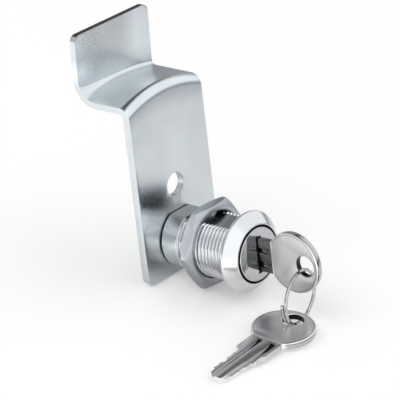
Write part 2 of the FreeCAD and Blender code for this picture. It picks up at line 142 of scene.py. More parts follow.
class CamSizes(bpy.types.PropertyGroup):
    """Bent plate that the plug turns"""
    thickness: size("Plate thickness", "Thickness of the plate's foot", 2.35)
    shelf_t: size("Shelf thickness", "Thickness of the drawn shelf and tip", 1.9)
    corner: size("Lower corners", "Radius of the two lower corners", 2.5)
    tip_corner: size("Tip corners", "Radius of the two corners of the tip", 2.2)
    shelf_top: size("Shelf height", "Axis to the crown of the arched shelf", 46.9)
    arch_r: size("Arch radius", "Radius of the arched shelf", 38.0)
    crease_drop: size("Crown drop", "How much lower the flatter crown behind the tip is", 1.8)
    tip_back: size("Tip set back", "Front of the plate to the front of the tip", 18.2)
    bend_r: size("Bend radius", "Outside radius of the bend between plate and shelf", 3.4)
    inner_r: size("Inner bend radius", "Inside radius of that bend", 1.3)
    tip_left_r: size("Tip bend, left", "Inside radius of the bend under the tip, at its left end", 5.7)
    tip_right_r: size("Tip bend, right", "Inside radius of the bend under the tip, at its right end", 1.5)
    tip_fade: bpy.props.FloatProperty(name="Tip bend fade", default=5.0,
                                      description="How quickly that radius falls from left to right")
    hole_d: size("Hole diameter", "Round hole in the plate", 6.9)
    hole_up: size("Hole height", "Axis to the centre of the round hole", 15.65)
    square: size("Square hole", "Side of the hole for the plug's stem", 7.2)
    edge: size("Edge rounding", "Rounding of the stamped edges", 0.40)
    lean: turn("Tip lean", "Lean of the tip towards the front", 2.6)


class KeySizes(bpy.types.PropertyGroup):
    """Both keys, and how the second one lies"""
    bow_d: size("Bow diameter", "Round bow of the key", 18.0)
    bow_t: size("Bow thickness", "Thickness of the bow", 2.0)
    bow_edge: size("Bow edge", "Rounding of the bow's rim", 0.34)
    hole_d: size("Hole diameter", "Hole in the bow", 6.1)
    hole_in: size("Hole place", "Far end of the bow to the centre of its hole", 4.6)
    blade_w: size("Blade width", "Width of the uncut blade", 9.9)
    blade_t: size("Blade thickness", "Thickness of the blade", 1.6)
    first_cut: size("First cut", "Far end of the bow to the middle of the first cut", 26.0)
    cut_pitch: size("Cut pitch", "Distance from one cut to the next", 2.9)
    cut_flat: size("Cut flat", "Flat floor of a cut", 1.5)
    cut_step: size("Cut step", "Difference in depth from one code to the next", 0.45)
    land: size("Land", "How far the lands stand above the cuts beside them", 0.3)
    ramp: size("Neck ramp", "Ramp from the full blade to the first cut", 1.2)
    tip_l: size("Tip length", "Last cut to the end of the blade", 1.3)
    tip_w: size("Tip width", "Width of the blade's end", 2.4)
    groove_from: size("Groove start", "Far end of the bow to where the milled grooves start", 17.4)
    groove_run: size("Groove run-out", "Length that the milling cutter leaves curved", 2.6)
    groove_depth: size("Groove depth", "Depth of the milled grooves", 0.6)
    yaw: turn("Second key yaw", "Turn of the lying key about the vertical", 2.8)
    pitch: turn("Second key pitch", "Tip of the lying key", -2.4)
    roll: turn("Second key roll", "Roll of the lying key", 7.8)
    lie: turn("Second key place", "From the ring's top round to where it passes the second key", 217.0)
    shift: size("Second key shift", "From its hole's centre to the wire, towards the blade", 1.0)


class RingSizes(bpy.types.PropertyGroup):
    """Wire ring"""
    wire_d: size("Wire diameter", "Thickness of the ring's wire", 1.0)
    ring_d: size("Ring diameter", "Diameter of the wire's centre line", 15.7)
    pitch: size("Ring pitch", "Advance of the wire in one turn", 1.1)
    turns: bpy.props.FloatProperty(name="Turns", description="Length of the wire in turns", default=1.2)
    start: turn("Loose end", "From the ring's top to the loose end of the wire", 85.0)


class Finishes(bpy.types.PropertyGroup):
    """Colours and glosses"""
    chrome: colour("Chrome", "Plating of the barrel", 0.64, 0.65, 0.66)
    polish: colour("Polished chrome", "Plating of the plug", 0.49, 0.50, 0.51)
    zinc: colour("Zinc", "Plating of the cam plate", 0.66, 0.705, 0.725)
    nut: colour("Nut", "Plating of the nut", 0.80, 0.83, 0.88)
    nickel: colour("Nickel", "Plating of the keys and the ring", 0.60, 0.60, 0.60)
    # Worn bright, and painted as a highlight on a key's rim and at its shoulder.
    rim: colour("Polished rim", "Rim of a key's bow, worn bright", 0.85, 0.85, 0.85)
    brass: colour("Brass", "Wafers", 0.72, 0.55, 0.27)
    # Near-black colour of painted shade in roots, gaps, recesses and thin lines.
    painted_shade: colour("Grime", "Dark film that stays in roots and corners", 0.03, 0.03, 0.035)
    plate_rough: share("Plate roughness", "Gloss of the cam plate", 0.24)
    chrome_rough: share("Chrome roughness", "Gloss of the barrel and plug", 0.12)
    nut_rough: share("Nut roughness", "Gloss of the nut", 0.34)
    key_rough: share("Key roughness", "Gloss of the keys", 0.27)


class StageSizes(bpy.types.PropertyGroup):
    """Camera and floor"""
    lens: bpy.props.FloatProperty(name="Lens", default=270.0,
                                  description="Focal length in millimetres on a sensor 36 mm wide")
    floor_tilt: turn("Floor tilt", "The lock lies with its key side down on the floor", 8.0)


GROUPS = {
    "lock_barrel": BarrelSizes, "lock_nut": NutSizes, "lock_plug": PlugSizes, "lock_cam": CamSizes,
    "lock_key": KeySizes, "lock_ring": RingSizes, "lock_finish": Finishes, "lock_stage": StageSizes,
}


# Shader maths

class Term:
    """A number that varies over a surface: a socket that Python's operators work on."""

    def __init__(self, tree, socket):
        self.tree = tree
        self.socket = socket

    def _math(self, operation, first, second=None):
        node = self.tree.nodes.new("ShaderNodeMath")
        node.operation = operation
        for place, value in enumerate((first, second)):
            if isinstance(value, Term):
                self.tree.links.new(value.socket, node.inputs[place])
            elif value is not None:
                node.inputs[place].default_value = value
        return Term(self.tree, node.outputs[0])

    def __add__(self, other):
        return self._math("ADD", self, other)

    def __radd__(self, other):
        return self._math("ADD", other, self)

    def __sub__(self, other):
        return self._math("SUBTRACT", self, other)

    def __rsub__(self, other):
        return self._math("SUBTRACT", other, self)

    def __mul__(self, other):
        return self._math("MULTIPLY", self, other)

    def __rmul__(self, other):
        return self._math("MULTIPLY", other, self)

    def root(self):
        return self._math("SQRT", self)

    def ramp(self, low, high):
        """0 at low, 1 at high, straight between them and steady outside them."""
        steep = (self - low) * (1.0 / (high - low))
        return steep._math("MINIMUM", steep._math("MAXIMUM", steep, 0.0), 1.0)

    def between(self, low, high, soft):
        """1 between two values, falling to 0 within a soft edge outside them."""
        return self.ramp(low - soft, low) * self.ramp(high + soft, high)


def apart(first, second):
    """Distance from an axis, given the distances along two directions square to it."""
    return (first * first + second * second).root()


def toward(value, target, amount):
    """A number moved towards another by an amount from 0 to 1."""
    return value + (target - value) * amount


class Nodes:
    """Tools for one shader tree: its nodes, and numbers that vary with a place."""

    def __init__(self, tree, place):
        self.tree = tree
        self.place = self.node("ShaderNodeTexCoord").outputs[place]

    def node(self, kind, settings=None, sockets=None):
        """Any node except a sum: its settings are set first, then the values or links of its sockets."""
        made = self.tree.nodes.new(kind)
        for key, value in (settings or {}).items():
            setattr(made, key, value)
        for key, value in (sockets or {}).items():
            if isinstance(value, Term):
                value = value.socket
            if isinstance(value, bpy.types.NodeSocket):
                self.tree.links.new(value, made.inputs[key])
            else:
                made.inputs[key].default_value = value
        return made

    def stretched(self, scale):
        """The place on the piece, stretched by a scale for each axis."""
        return self.node("ShaderNodeMapping", {"vector_type": "POINT"},
                         {"Vector": self.place, "Scale": scale}).outputs["Vector"]

    def noise(self, scale, detail=2.0, rough=0.5, stretch=(1, 1, 1)):
        """Cloudy noise around 0.5, with finer clouds at a higher scale."""
        made = self.node("ShaderNodeTexNoise", None, {"Vector": self.stretched(stretch), "Scale": scale,
                                                      "Detail": detail, "Roughness": rough})
        return Term(self.tree, made.outputs["Fac"])

    def axis(self, letter, vector=None):
        """One part of a vector: of the place on the piece, unless another is given."""
        made = self.node("ShaderNodeSeparateXYZ", None, {"Vector": vector or self.place})
        return Term(self.tree, made.outputs[letter])

    def facing(self, letter):
        """How far the surface faces along an axis of the piece, from -1 to 1."""
        return self.axis(letter, self.node("ShaderNodeTexCoord").outputs["Normal"])

    def blend(self, amount, first, second):
        """A colour between two, by an amount that varies over the surface."""
        made = self.node("ShaderNodeMix", {"data_type": "RGBA"}, {"Factor": amount})
        for name, value in (("A", first), ("B", second)):
            socket = [s for s in made.inputs if s.name == name and s.type == "RGBA"][0]
            if isinstance(value, bpy.types.NodeSocket):
                self.tree.links.new(value, socket)
            else:
                socket.default_value = value
        return [s for s in made.outputs if s.type == "RGBA"][0]

    def light_path(self, *kinds):
        """1 for a ray of any of the kinds, and 0 for other rays."""
        paths = self.node("ShaderNodeLightPath")
        found = 0.0
        for kind in kinds:
            found = Term(self.tree, paths.outputs["Is " + kind + " Ray"]) + found
        return found.ramp(0.0, 1.0)


class Finish(Nodes):
    """A material whose surface is worked out from noise and from places on the piece."""

    def __init__(self, name, base, metallic, roughness):
        self.material = bpy.data.materials.new(name)
        self.material.use_nodes = True
        super().__init__(self.material.node_tree, "Object")
        self.shader = self.tree.nodes["Principled BSDF"]
        self.shader.inputs["Base Color"].default_value = base
        self.shader.inputs["Metallic"].default_value = metallic
        self.shader.inputs["Roughness"].default_value = roughness

    def tint(self, socket):
        self.tree.links.new(socket, self.shader.inputs["Base Color"])

    def gloss(self, term):
        self.tree.links.new(term.socket, self.shader.inputs["Roughness"])

    def relief(self, term, distance):
        bump = self.node("ShaderNodeBump", None, {"Height": term, "Distance": distance})
        self.tree.links.new(bump.outputs["Normal"], self.shader.inputs["Normal"])

    def glow(self, socket, strength):
        self.tree.links.new(socket, self.shader.inputs["Emission Color"])
        self.shader.inputs["Emission Strength"].default_value = strength


# Finishes

def toned(rgba, factor):
    """A colour made darker by a factor below 1, or lighter by one above it."""
    return (rgba[0] * factor, rgba[1] * factor, rgba[2] * factor, 1.0)


def finishes():
    """The colours and glosses that a user may change."""
    return bpy.context.scene.lock_finish


def zinc_plate():
    """Bright zinc over rolled sheet: faint mottling, a soft gloss, pitting on the tip and a dull sheared end,
    with a painted highlight and a painted dark reflection on the tip and painted reflections in bands on the
    front of the plate's left side.
    """
    values = finishes()
    sizes = bpy.context.scene.lock_cam
    finish = Finish("bright_zinc_plate", values.zinc, 1.0, values.plate_rough)
    cloud = finish.noise(55.0, 3.0)
    rolled = finish.noise(900.0, 2.0, 0.6, (1.0, 1.0, 0.03))
    grain = finish.noise(2600.0, 2.0)
    mottled = finish.noise(1200.0, 4.0, 0.75).ramp(0.40, 0.60)
    across, height = finish.axis("X"), finish.axis("Z")
    tip = height.ramp(sizes.shelf_top, sizes.shelf_top + 5 * MM)
    pitted = finish.noise(1500.0, 4.0, 0.75).ramp(0.50, 0.60)
    specks = tip * pitted * across.between(-11 * MM, -7 * MM, 4 * MM)
    # Painted dark reflection across the middle of the tip.
    tip_dark_reflection = tip * across.between(-8 * MM, 2 * MM, 8 * MM)
    sheared = tip * finish.facing("Z").ramp(0.72, 0.90)
    # Painted highlight on the tip: lighter at the left end of the bend at its foot and towards its right end.
    tip_foot = height.ramp(sizes.shelf_top + 9 * MM, sizes.shelf_top + 4 * MM)
    tip_highlight = tip * (across.ramp(-8 * MM, -13 * MM) * tip_foot + across.ramp(4 * MM, 10 * MM) * 0.6)
    front_left = finish.facing("Y").ramp(-0.80, -0.95) * across.ramp(-2 * MM, -6 * MM)
    level = height + across * 0.4
    # Painted dark reflection, mottled, in a band on the front of the plate's left side.
    reflection_band = level.ramp(7.2 * MM, 8.8 * MM) * level.ramp(15 * MM, 11 * MM)
    dark_reflection = front_left * reflection_band * (0.45 + 0.55 * mottled)
    # Painted shade in a lower band on the same face.
    low_shade_band = front_left * level.between(-5 * MM, -1 * MM, 2 * MM)
    # Painted bright reflection, mottled, in a band between those two.
    bright_reflection = front_left * level.between(2 * MM, 5 * MM, 2 * MM) * (0.5 + mottled)
    # Darker tone: real mottling and pitting, together with the painted dark reflection on the tip and the
    # painted lower band.
    worn = (cloud.ramp(0.35, 0.70) * 0.5 + specks * 0.9 + tip_dark_reflection * 0.7 + low_shade_band).ramp(0.0, 1.0)
    # Lighter tone: the painted highlight on the tip and the painted bright reflection on the plate's front.
    clear = (tip_highlight + bright_reflection).ramp(0.0, 1.0)
    plated = finish.blend(clear, values.zinc, toned(values.zinc, 1.35))
    plated = finish.blend(worn * (1.0 - clear), plated, toned(values.zinc, 0.78))
    plated = finish.blend(dark_reflection, plated, toned(values.zinc, 0.35))
    finish.tint(finish.blend(sheared, plated, toned(values.zinc, 0.10)))
    finish.gloss(values.plate_rough - 0.04 + cloud * 0.07 + rolled * 0.04 + specks * 0.10 + sheared * 0.2)
    finish.relief(rolled * 0.6 + grain * 0.4, 0.004 * MM)
    return finish.material


def barrel_chrome():
    """Chrome over the casting, with painted shade in the thread's roots, on the top flat and where the nut's
    shadow falls on it, and in the gaps at both ends, and painted light and shade that change with height on
    the thread and the rear band.
    """
    values = finishes()
    sizes = bpy.context.scene.lock_barrel
    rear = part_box("barrel")[1].y
    nut_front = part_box("hex_nut")[0].y
    finish = Finish("barrel_chrome", values.chrome, 1.0, values.chrome_rough)
    across, along, height = finish.axis("X"), finish.axis("Y"), finish.axis("Z")
    radius = apart(across, height)
    patches = finish.noise(240.0, 3.0)
    crest = sizes.thread_d / 2
    recess = sizes.recess_d / 2
    threaded = along.between(0.0, sizes.thread_end, 0.1 * MM)
    on_band = along.ramp(sizes.thread_end, sizes.thread_end + 0.1 * MM)
    flat_top = threaded * finish.facing("Z").ramp(0.90, 0.97)
    round_thread = threaded * (1.0 - flat_top)
    below_crest = radius.ramp(crest - 0.65 * sizes.depth, crest - 0.95 * sizes.depth)
    undercut = along.between(0.0, sizes.undercut, 0.2 * MM)
    # Painted shade in the thread's roots, deeper in the undercut next to the head, where the head's shadow
    # falls.
    root_shade = round_thread * below_crest * (0.32 + 0.5 * patches + undercut)
    # Painted shadow of the nut on the top flat.
    nut_shade = flat_top * along.ramp(nut_front - 2.6 * MM, nut_front - 1.2 * MM) * across.ramp(2 * MM, -MM)
    # Painted shade in the gaps at the rear end and round the plug's face.
    rear_gap = along.ramp(rear - sizes.rear_chamfer, rear - 0.4 * sizes.rear_chamfer)
    front_gap = radius.ramp(recess + 0.20 * MM, recess + 0.05 * MM) * along.ramp(-1.0 * MM, -1.2 * MM)
    # All of it painted shade in one near-black colour.
    film = (root_shade + nut_shade + rear_gap + front_gap).ramp(0.0, 1.0)
    # Painted light and shade by height: the thread painted lighter towards the top, the rear band darker
    # towards the top and darkest at its top.
    height_shading = height.ramp(-2 * MM, 4 * MM)
    top = height.ramp(4 * MM, 8 * MM)
    thread_shading = finish.blend(height_shading, toned(values.chrome, 0.90), toned(values.chrome, 1.50))
    band_shading = finish.blend(height_shading, toned(values.chrome, 1.30), toned(values.chrome, 0.62))
    band_shading = finish.blend(top, band_shading, toned(values.chrome, 0.45))
    plated = finish.blend(round_thread, values.chrome, thread_shading)
    plated = finish.blend(on_band, plated, band_shading)
    # Painted shade on the top flat.
    plated = finish.blend(flat_top, plated, toned(values.chrome, 0.55))
    finish.tint(finish.blend(film, plated, values.painted_shade))
    finish.gloss(values.chrome_rough + 0.06 * patches + 0.3 * film)
    finish.relief(finish.noise(1500.0, 3.0), 0.002 * MM)
    return finish.material


def plug_polish():
    """Polished chrome, with painted shade in the gap round the face, inside the keyway and on a strip at its
    left side and below it.
    """
    values = finishes()
    sizes = bpy.context.scene.lock_plug
    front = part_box("plug")[0].y
    finish = Finish("plug_polish", values.polish, 1.0, values.chrome_rough)
    fine = finish.noise(700.0, 3.0)
    lapped = finish.noise(3200.0, 1.0, 0.5, (1.0, 0.2, 0.2))
    across, along, height = finish.axis("X"), finish.axis("Y"), finish.axis("Z")
    left, right = sizes.keyway_x - sizes.keyway_w / 2, sizes.keyway_x + sizes.keyway_w / 2
    half_h = sizes.keyway_h / 2
    soft = 0.04 * MM
    # Painted shade inside the keyway and on a strip at its left side and below it, and in the gap round the
    # face.
    slot = across.between(left - sizes.mouth, right, soft)
    slot = slot * height.between(-half_h - 2 * sizes.mouth, half_h, soft)
    face_r = sizes.face_d / 2
    side_start = front + sizes.edge
    side = apart(across, height).ramp(face_r - 0.08 * MM, face_r)
    side = side * along.ramp(side_start, side_start + 0.1 * MM)
    film = (slot + side).ramp(0.0, 1.0)
    polished = finish.blend(fine.ramp(0.4, 0.8), values.polish, toned(values.polish, 0.93))
    finish.tint(finish.blend(film, polished, values.painted_shade))
    finish.gloss(values.chrome_rough - 0.03 + 0.06 * fine + 0.4 * film)
    finish.relief(lapped, 0.0015 * MM)
    return finish.material


def nut_zinc():
    """Blue-passivated zinc with painted light and shade: upper side flats painted bright, the top, the lower
    flats and the turned faces painted dull, and painted shade in the bore.
    """
    values = finishes()
    sizes = bpy.context.scene.lock_nut
    finish = Finish("nut_zinc", values.nut, 1.0, values.nut_rough)
    cloud = finish.noise(160.0, 4.0)
    turned = finish.noise(1800.0, 2.0, 0.5, (1.0, 0.15, 1.0))
    radius = apart(finish.axis("X"), finish.axis("Z"))
    # Painted light and shade by facing: the upper side flats painted bright, the top, the lower flats and the
    # turned faces painted dull.
    sideways = finish.facing("X")
    flats = (sideways * sideways).ramp(0.40, 0.70) * finish.facing("Z").ramp(-0.35, 0.10)
    bore = sizes.bore_d / 2
    # Painted shade in the bore.
    film = radius.ramp(bore + 0.6 * sizes.chamfer, bore + 0.2 * sizes.chamfer)
    bright = finish.blend(cloud.ramp(0.35, 0.75), values.nut, toned(values.nut, 0.85))
    dull = finish.blend(cloud.ramp(0.35, 0.75), toned(values.nut, 0.55), toned(values.nut, 0.42))
    finish.tint(finish.blend(film, finish.blend(flats, dull, bright), values.painted_shade))
    finish.gloss(values.nut_rough - 0.05 + 0.12 * cloud + 0.5 * film)
    finish.relief(turned, 0.004 * MM)
    return finish.material


def fastener_zinc():
    """Duller zinc of the cam screw, its washers and the stop disc."""
    values = finishes()
    finish = Finish("fastener_zinc", values.zinc, 1.0, values.nut_rough)
    cloud = finish.noise(300.0, 4.0)
    finish.tint(finish.blend(cloud.ramp(0.3, 0.7), toned(values.zinc, 0.92), toned(values.zinc, 0.70)))
    finish.gloss(values.nut_rough - 0.08 + 0.14 * cloud)
    finish.relief(finish.noise(2400.0, 3.0), 0.003 * MM)
    return finish.material


def key_nickel(name, bow_shade, blade_shade, worn_edge, film_from, film_to):
    """Nickel on brass: a brushed bow whose rim is worn bright and painted as a highlight, a painted highlight
    at the shoulder when asked for, painted shade on the bow's side wall, in thin lines at its edge and in its
    hole, and a milled blade with painted shade at the start of its grooves and painted light on their floors.
    """
    values = finishes()
    sizes = bpy.context.scene.lock_key
    finish = Finish(name, values.nickel, 1.0, values.key_rough)
    finish.place = finish.node("ShaderNodeAttribute", {"attribute_name": "in_key"}).outputs["Vector"]
    along, across, through = finish.axis("X"), finish.axis("Y"), finish.axis("Z")
    radius = sizes.bow_d / 2
    shoulder = key_shoulder(sizes)
    from_middle = apart(along - radius, across)
    from_hole = apart(along - sizes.hole_in, across)
    bow = along.ramp(shoulder, shoulder - MM)
    # The rim is worn bright and also painted as a highlight along the bow's rounded edge; a painted highlight
    # runs across the shoulder where the blade leaves the bow.
    rim = from_middle.ramp(radius - sizes.bow_edge, radius - 0.6 * sizes.bow_edge) * bow
    rim = rim + along.between(shoulder - 0.40 * MM, shoulder - 0.10 * MM, 0.1 * MM) * worn_edge
    # Painted shade on the side wall of the bow.
    wall = from_middle.ramp(radius - 0.12 * MM, radius - 0.04 * MM) * bow
    # Painted shade in thin dark lines: on the side wall next to its rounded edge, and on the face just inside
    # that edge.
    wall_shade_line = through.between(sizes.bow_edge, sizes.bow_edge + 0.12 * MM, 0.08 * MM) * wall
    face_shade_line = from_middle.between(radius - 0.72 * MM, radius - 0.52 * MM, 0.12 * MM) * bow
    lines = face_shade_line * 0.35 + wall_shade_line * 0.7
    # Painted shade inside the bow's hole.
    hole = from_hole.ramp(sizes.hole_d / 2 + 0.06 * MM, sizes.hole_d / 2 + 0.02 * MM)
    blade = along.ramp(shoulder, shoulder + 0.1 * MM)
    face = (sizes.bow_t - sizes.blade_t) / 2
    deep = through.between(face + 0.05 * MM, face + sizes.groove_depth, 0.05 * MM)
    # Painted shade in a wedge at the start of each groove, narrowing further along the blade.
    taper = along.ramp(film_to, film_from)
    groove, film = 0.0, 0.0
    for height, width in KEY_GROOVES:
        past_middle = across - height
        off = (past_middle * past_middle).root()
        groove = off.ramp(width / 2 + 0.02 * MM, width / 2) + groove
        film = (taper * (width / 2 + 0.05 * MM) - off).ramp(0.0, 0.1 * MM) + film
    groove = groove * deep
    film = film * deep * along.ramp(film_from, film_from + 0.3 * MM)
    cloud = finish.noise(120.0, 3.0)
    long_scratch = finish.noise(900.0, 4.0, 0.7, (0.12, 1.0, 0.5))
    cross_scratch = finish.noise(900.0, 4.0, 0.7, (1.0, 0.15, 0.5))
    scratches = long_scratch + cross_scratch
    plain, dull = toned(values.nickel, bow_shade), toned(values.nickel, 0.88 * bow_shade)
    brushed = finish.blend(cloud.ramp(0.35, 0.75), plain, dull)
    bright = finish.blend(rim, brushed, values.rim)
    walled = finish.blend(wall, bright, toned(values.nickel, 0.78))
    milled = finish.blend(blade, walled, toned(values.nickel, blade_shade))
    # Painted light: the groove floors are painted lighter than the rest of the blade.
    milled = finish.blend(groove, milled, toned(values.nickel, 1.12 * blade_shade))
    # Painted shade in the hole, at the grooves' starts and in the thin lines, in the near-black colour.
    finish.tint(finish.blend((hole + film + lines).ramp(0.0, 1.0), milled, values.painted_shade))
    finish.gloss(values.key_rough - 0.04 + 0.08 * cloud + 0.04 * scratches - 0.10 * rim)
    finish.relief(scratches, 0.004 * MM)
    return finish.material


def ring_nickel():
    """Nickel on the ring's wire, worn in small patches."""
    values = finishes()
    finish = Finish("ring_nickel", values.nickel, 1.0, values.chrome_rough)
    worn = finish.noise(500.0, 3.0)
    finish.tint(finish.blend(worn.ramp(0.4, 0.7), toned(values.nickel, 0.80), toned(values.nickel, 0.60)))
    finish.gloss(values.chrome_rough + 0.04 * worn)
    finish.relief(worn, 0.003 * MM)
    return finish.material


def wafer_brass():
    """Punched brass with a fine upright grain."""
    values = finishes()
    finish = Finish("wafer_brass", values.brass, 1.0, values.nut_rough)
    cloud = finish.noise(400.0, 3.0)
    finish.tint(finish.blend(cloud, values.brass, toned(values.brass, 0.7)))
    finish.gloss(values.nut_rough - 0.05 + 0.1 * cloud)
    finish.relief(finish.noise(2000.0, 2.0, 0.5, (1.0, 1.0, 0.1)), 0.003 * MM)
    return finish.material


def spring_wire():
    """Drawn steel wire of the wafer springs."""
    values = finishes()
    finish = Finish("spring_wire", toned(values.zinc, 0.8), 1.0, values.nut_rough)
    drawn = finish.noise(1200.0, 2.0)
    finish.tint(finish.blend(drawn, toned(values.zinc, 0.85), toned(values.zinc, 0.6)))
    finish.gloss(values.nut_rough - 0.05 + 0.1 * drawn)
    return finish.material


# Mesh tools

def circle(steps):
    """Cosine and sine of evenly spaced angles, once round."""
    angles = [FULL_TURN * step / steps for step in range(steps)]
    return [(math.cos(angle), math.sin(angle)) for angle in angles]


def new_piece(name, points, faces, material, smooth_deg=SMOOTH_DEG):
    """A closed mesh from points in metres, with repeated points joined and normals turned outwards."""
    mesh = bpy.data.meshes.new(name)
    mesh.from_pydata([tuple(p) for p in points], [], faces)
    piece = bpy.data.objects.new(name, mesh)
    bpy.context.scene.collection.objects.link(piece)
    mesh.materials.append(material)
    clean(piece, smooth_deg)
    return piece


def clean(piece, smooth_deg=SMOOTH_DEG):
    """Joins repeated points, turns the normals outwards and shades smooth up to an angle."""
    work = bmesh.new()
    work.from_mesh(piece.data)
    bmesh.ops.remove_doubles(work, verts=work.verts, dist=0.002 * MM)
    bmesh.ops.recalc_face_normals(work, faces=work.faces)
    work.to_mesh(piece.data)
    work.free()
    piece.data.shade_smooth()
    piece.data.set_sharp_from_angle(angle=math.radians(smooth_deg))


def skin(rings, around=True):
    """Points and faces between neighbouring rings of equal length."""
    count = len(rings[0])
    points = [p for ring in rings for p in ring]
    faces = []
    last = count if around else count - 1
    for row in range(len(rings) - 1):
        for column in range(last):
            beside = (column + 1) % count
            faces.append((row * count + column, row * count + beside,
                          (row + 1) * count + beside, (row + 1) * count + column))
    return points, faces


def applied(piece, kind, **settings):
    """Adds one modifier and bakes it into the mesh."""
    modifier = piece.modifiers.new(kind.lower(), kind)
    for key, value in settings.items():
        setattr(modifier, key, value)
    bpy.context.view_layer.update()
    done = bpy.data.meshes.new_from_object(piece.evaluated_get(bpy.context.evaluated_depsgraph_get()))
    old = piece.data
    done.name = old.name
    piece.modifiers.clear()
    piece.data = done
    bpy.data.meshes.remove(old)


def cut(piece, cutter, operation="DIFFERENCE"):
    """Boolean with another piece, which is used up."""
    applied(piece, "BOOLEAN", operation=operation, object=cutter, solver="EXACT")
    old = cutter.data
    bpy.data.objects.remove(cutter)
    bpy.data.meshes.remove(old)


def soften(piece, width, steps, above_deg, smooth_deg=SMOOTH_DEG):
    """Rounds every edge sharper than an angle."""
    applied(piece, "BEVEL", width=width, segments=steps, limit_method="ANGLE",
            angle_limit=math.radians(above_deg), harden_normals=False, use_clamp_overlap=True)
    clean(piece, smooth_deg)


def turned(name, profile, material, steps):
    """Solid turned about the lock's axis from (radius, y) points, closed at the axis or on itself."""
    rings = [[(radius * cosine, y, radius * sine) for cosine, sine in circle(steps)] for radius, y in profile]
    hollow = profile[0][0] > 0 and profile[-1][0] > 0
    if hollow:
        rings.append(rings[0])
    points, faces = skin(rings)
    return new_piece(name, points, faces, material)


def prism(name, outline, low, high, material):
    """Flat plate from an outline of (x, y) points, between two heights along Z."""
    count = len(outline)
    points = [(x, y, low) for x, y in outline] + [(x, y, high) for x, y in outline]
    faces = [tuple(range(count)), tuple(range(count, 2 * count))]
    for index in range(count):
        beside = (index + 1) % count
        faces.append((index, beside, count + beside, count + index))
    return new_piece(name, points, faces, material)


def block(name, low, high, material):
    """Box between two opposite corners."""
    outline = [(low[0], low[1]), (high[0], low[1]), (high[0], high[1]), (low[0], high[1])]
    return prism(name, outline, low[2], high[2], material)


def along_y(piece):
    """Swaps Y and Z, so that a plate drawn in X and Y has its height along Y."""
    piece.data.transform(Matrix(((1, 0, 0, 0), (0, 0, 1, 0), (0, 1, 0, 0), (0, 0, 0, 1))))
    clean(piece)
    return piece


def rod(name, radius, low, high, z, material, steps):
    """Round bar along Y, at a height above the lock's axis."""
    outline = [(radius * cosine, z + radius * sine) for cosine, sine in circle(steps)]
    return along_y(prism(name, outline, low, high, material))


def quarter_turn(start, end, steps):
    """Points after the start of a quarter turn that leaves one place along X and meets another along Y."""
    points = []
    for step in range(1, steps + 1):
        angle = math.pi / 2 * step / steps
        points.append((start[0] + (end[0] - start[0]) * math.sin(angle),
                       start[1] + (end[1] - start[1]) * (1 - math.cos(angle))))
    return points


def curved(start, corner, end, steps):
    """Points of a smooth bend from one place to another, drawn towards the corner between them."""
    points = []
    for step in range(steps + 1):
        t = step / steps
        first, middle, last = (1 - t) ** 2, 2 * t * (1 - t), t * t
        points.append((first * start[0] + middle * corner[0] + last * end[0],
                       first * start[1] + middle * corner[1] + last * end[1]))
    return points


def tube(name, path, radius, material, sides):
    """Round wire along a path of points, with flat ends."""
    rings = []
    side = None
    for index, point in enumerate(path):
        ahead = path[min(index + 1, len(path) - 1)]
        behind = path[max(index - 1, 0)]
        way = (ahead - behind).normalized()
        side = way.orthogonal() if side is None else side - way * side.dot(way)
        side.normalize()
        across = way.cross(side)
        rings.append([point + (side * cosine + across * sine) * radius for cosine, sine in circle(sides)])
    points, faces = skin(rings)
    faces.append(tuple(range(sides)))
    faces.append(tuple(range(len(points) - sides, len(points))))
    return new_piece(name, points, faces, material, smooth_deg=60.0)


def dress(piece, body, slot, *nodes):
    """Fixes a finished piece to its body and lets it stand for its nodes."""
    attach(piece, body)
    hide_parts(*nodes)


# Barrel

# Places in one pitch of the thread, from 0 to 1, where its root ends and its crest starts and ends
ROOT_END, CREST_START, CREST_END = 0.25, 0.5625, 0.6875
THREAD_PHASES = (0.0, ROOT_END / 2, ROOT_END, (ROOT_END + CREST_START) / 2, CREST_START,
                 (CREST_START + CREST_END) / 2, CREST_END, (CREST_END + 1.0) / 2)


def barrel_angles():
    """Angles round the barrel, closer together where thread and flats meet."""
    quarter = []
    for start, end, step in ((0, 54, 3), (54, 70, 0.5), (70, 90, 4)):
        count = round((end - start) / step)
        quarter += [start + step * index for index in range(count)]
    quarter.append(90)
    half = quarter + [180 - a for a in reversed(quarter[:-1])]
    whole = half + [180 + a for a in half[1:-1]]
    return [math.radians(a) for a in whole]


def flat_limit(radius, angle, half_flats):
    """Radius at an angle after the two flats are cut."""
    rise = abs(math.sin(angle))
    if rise * radius <= half_flats:
        return radius
    return half_flats / rise


def thread_height(phase):
    """Height of a thread from root to crest, 0 to 1, at a place in its pitch."""
    if phase <= ROOT_END:
        return 0.0
    if phase < CREST_START:
        return (phase - ROOT_END) / (CREST_START - ROOT_END)
    if phase <= CREST_END:
        return 1.0
    return (1.0 - phase) / (1.0 - CREST_END)


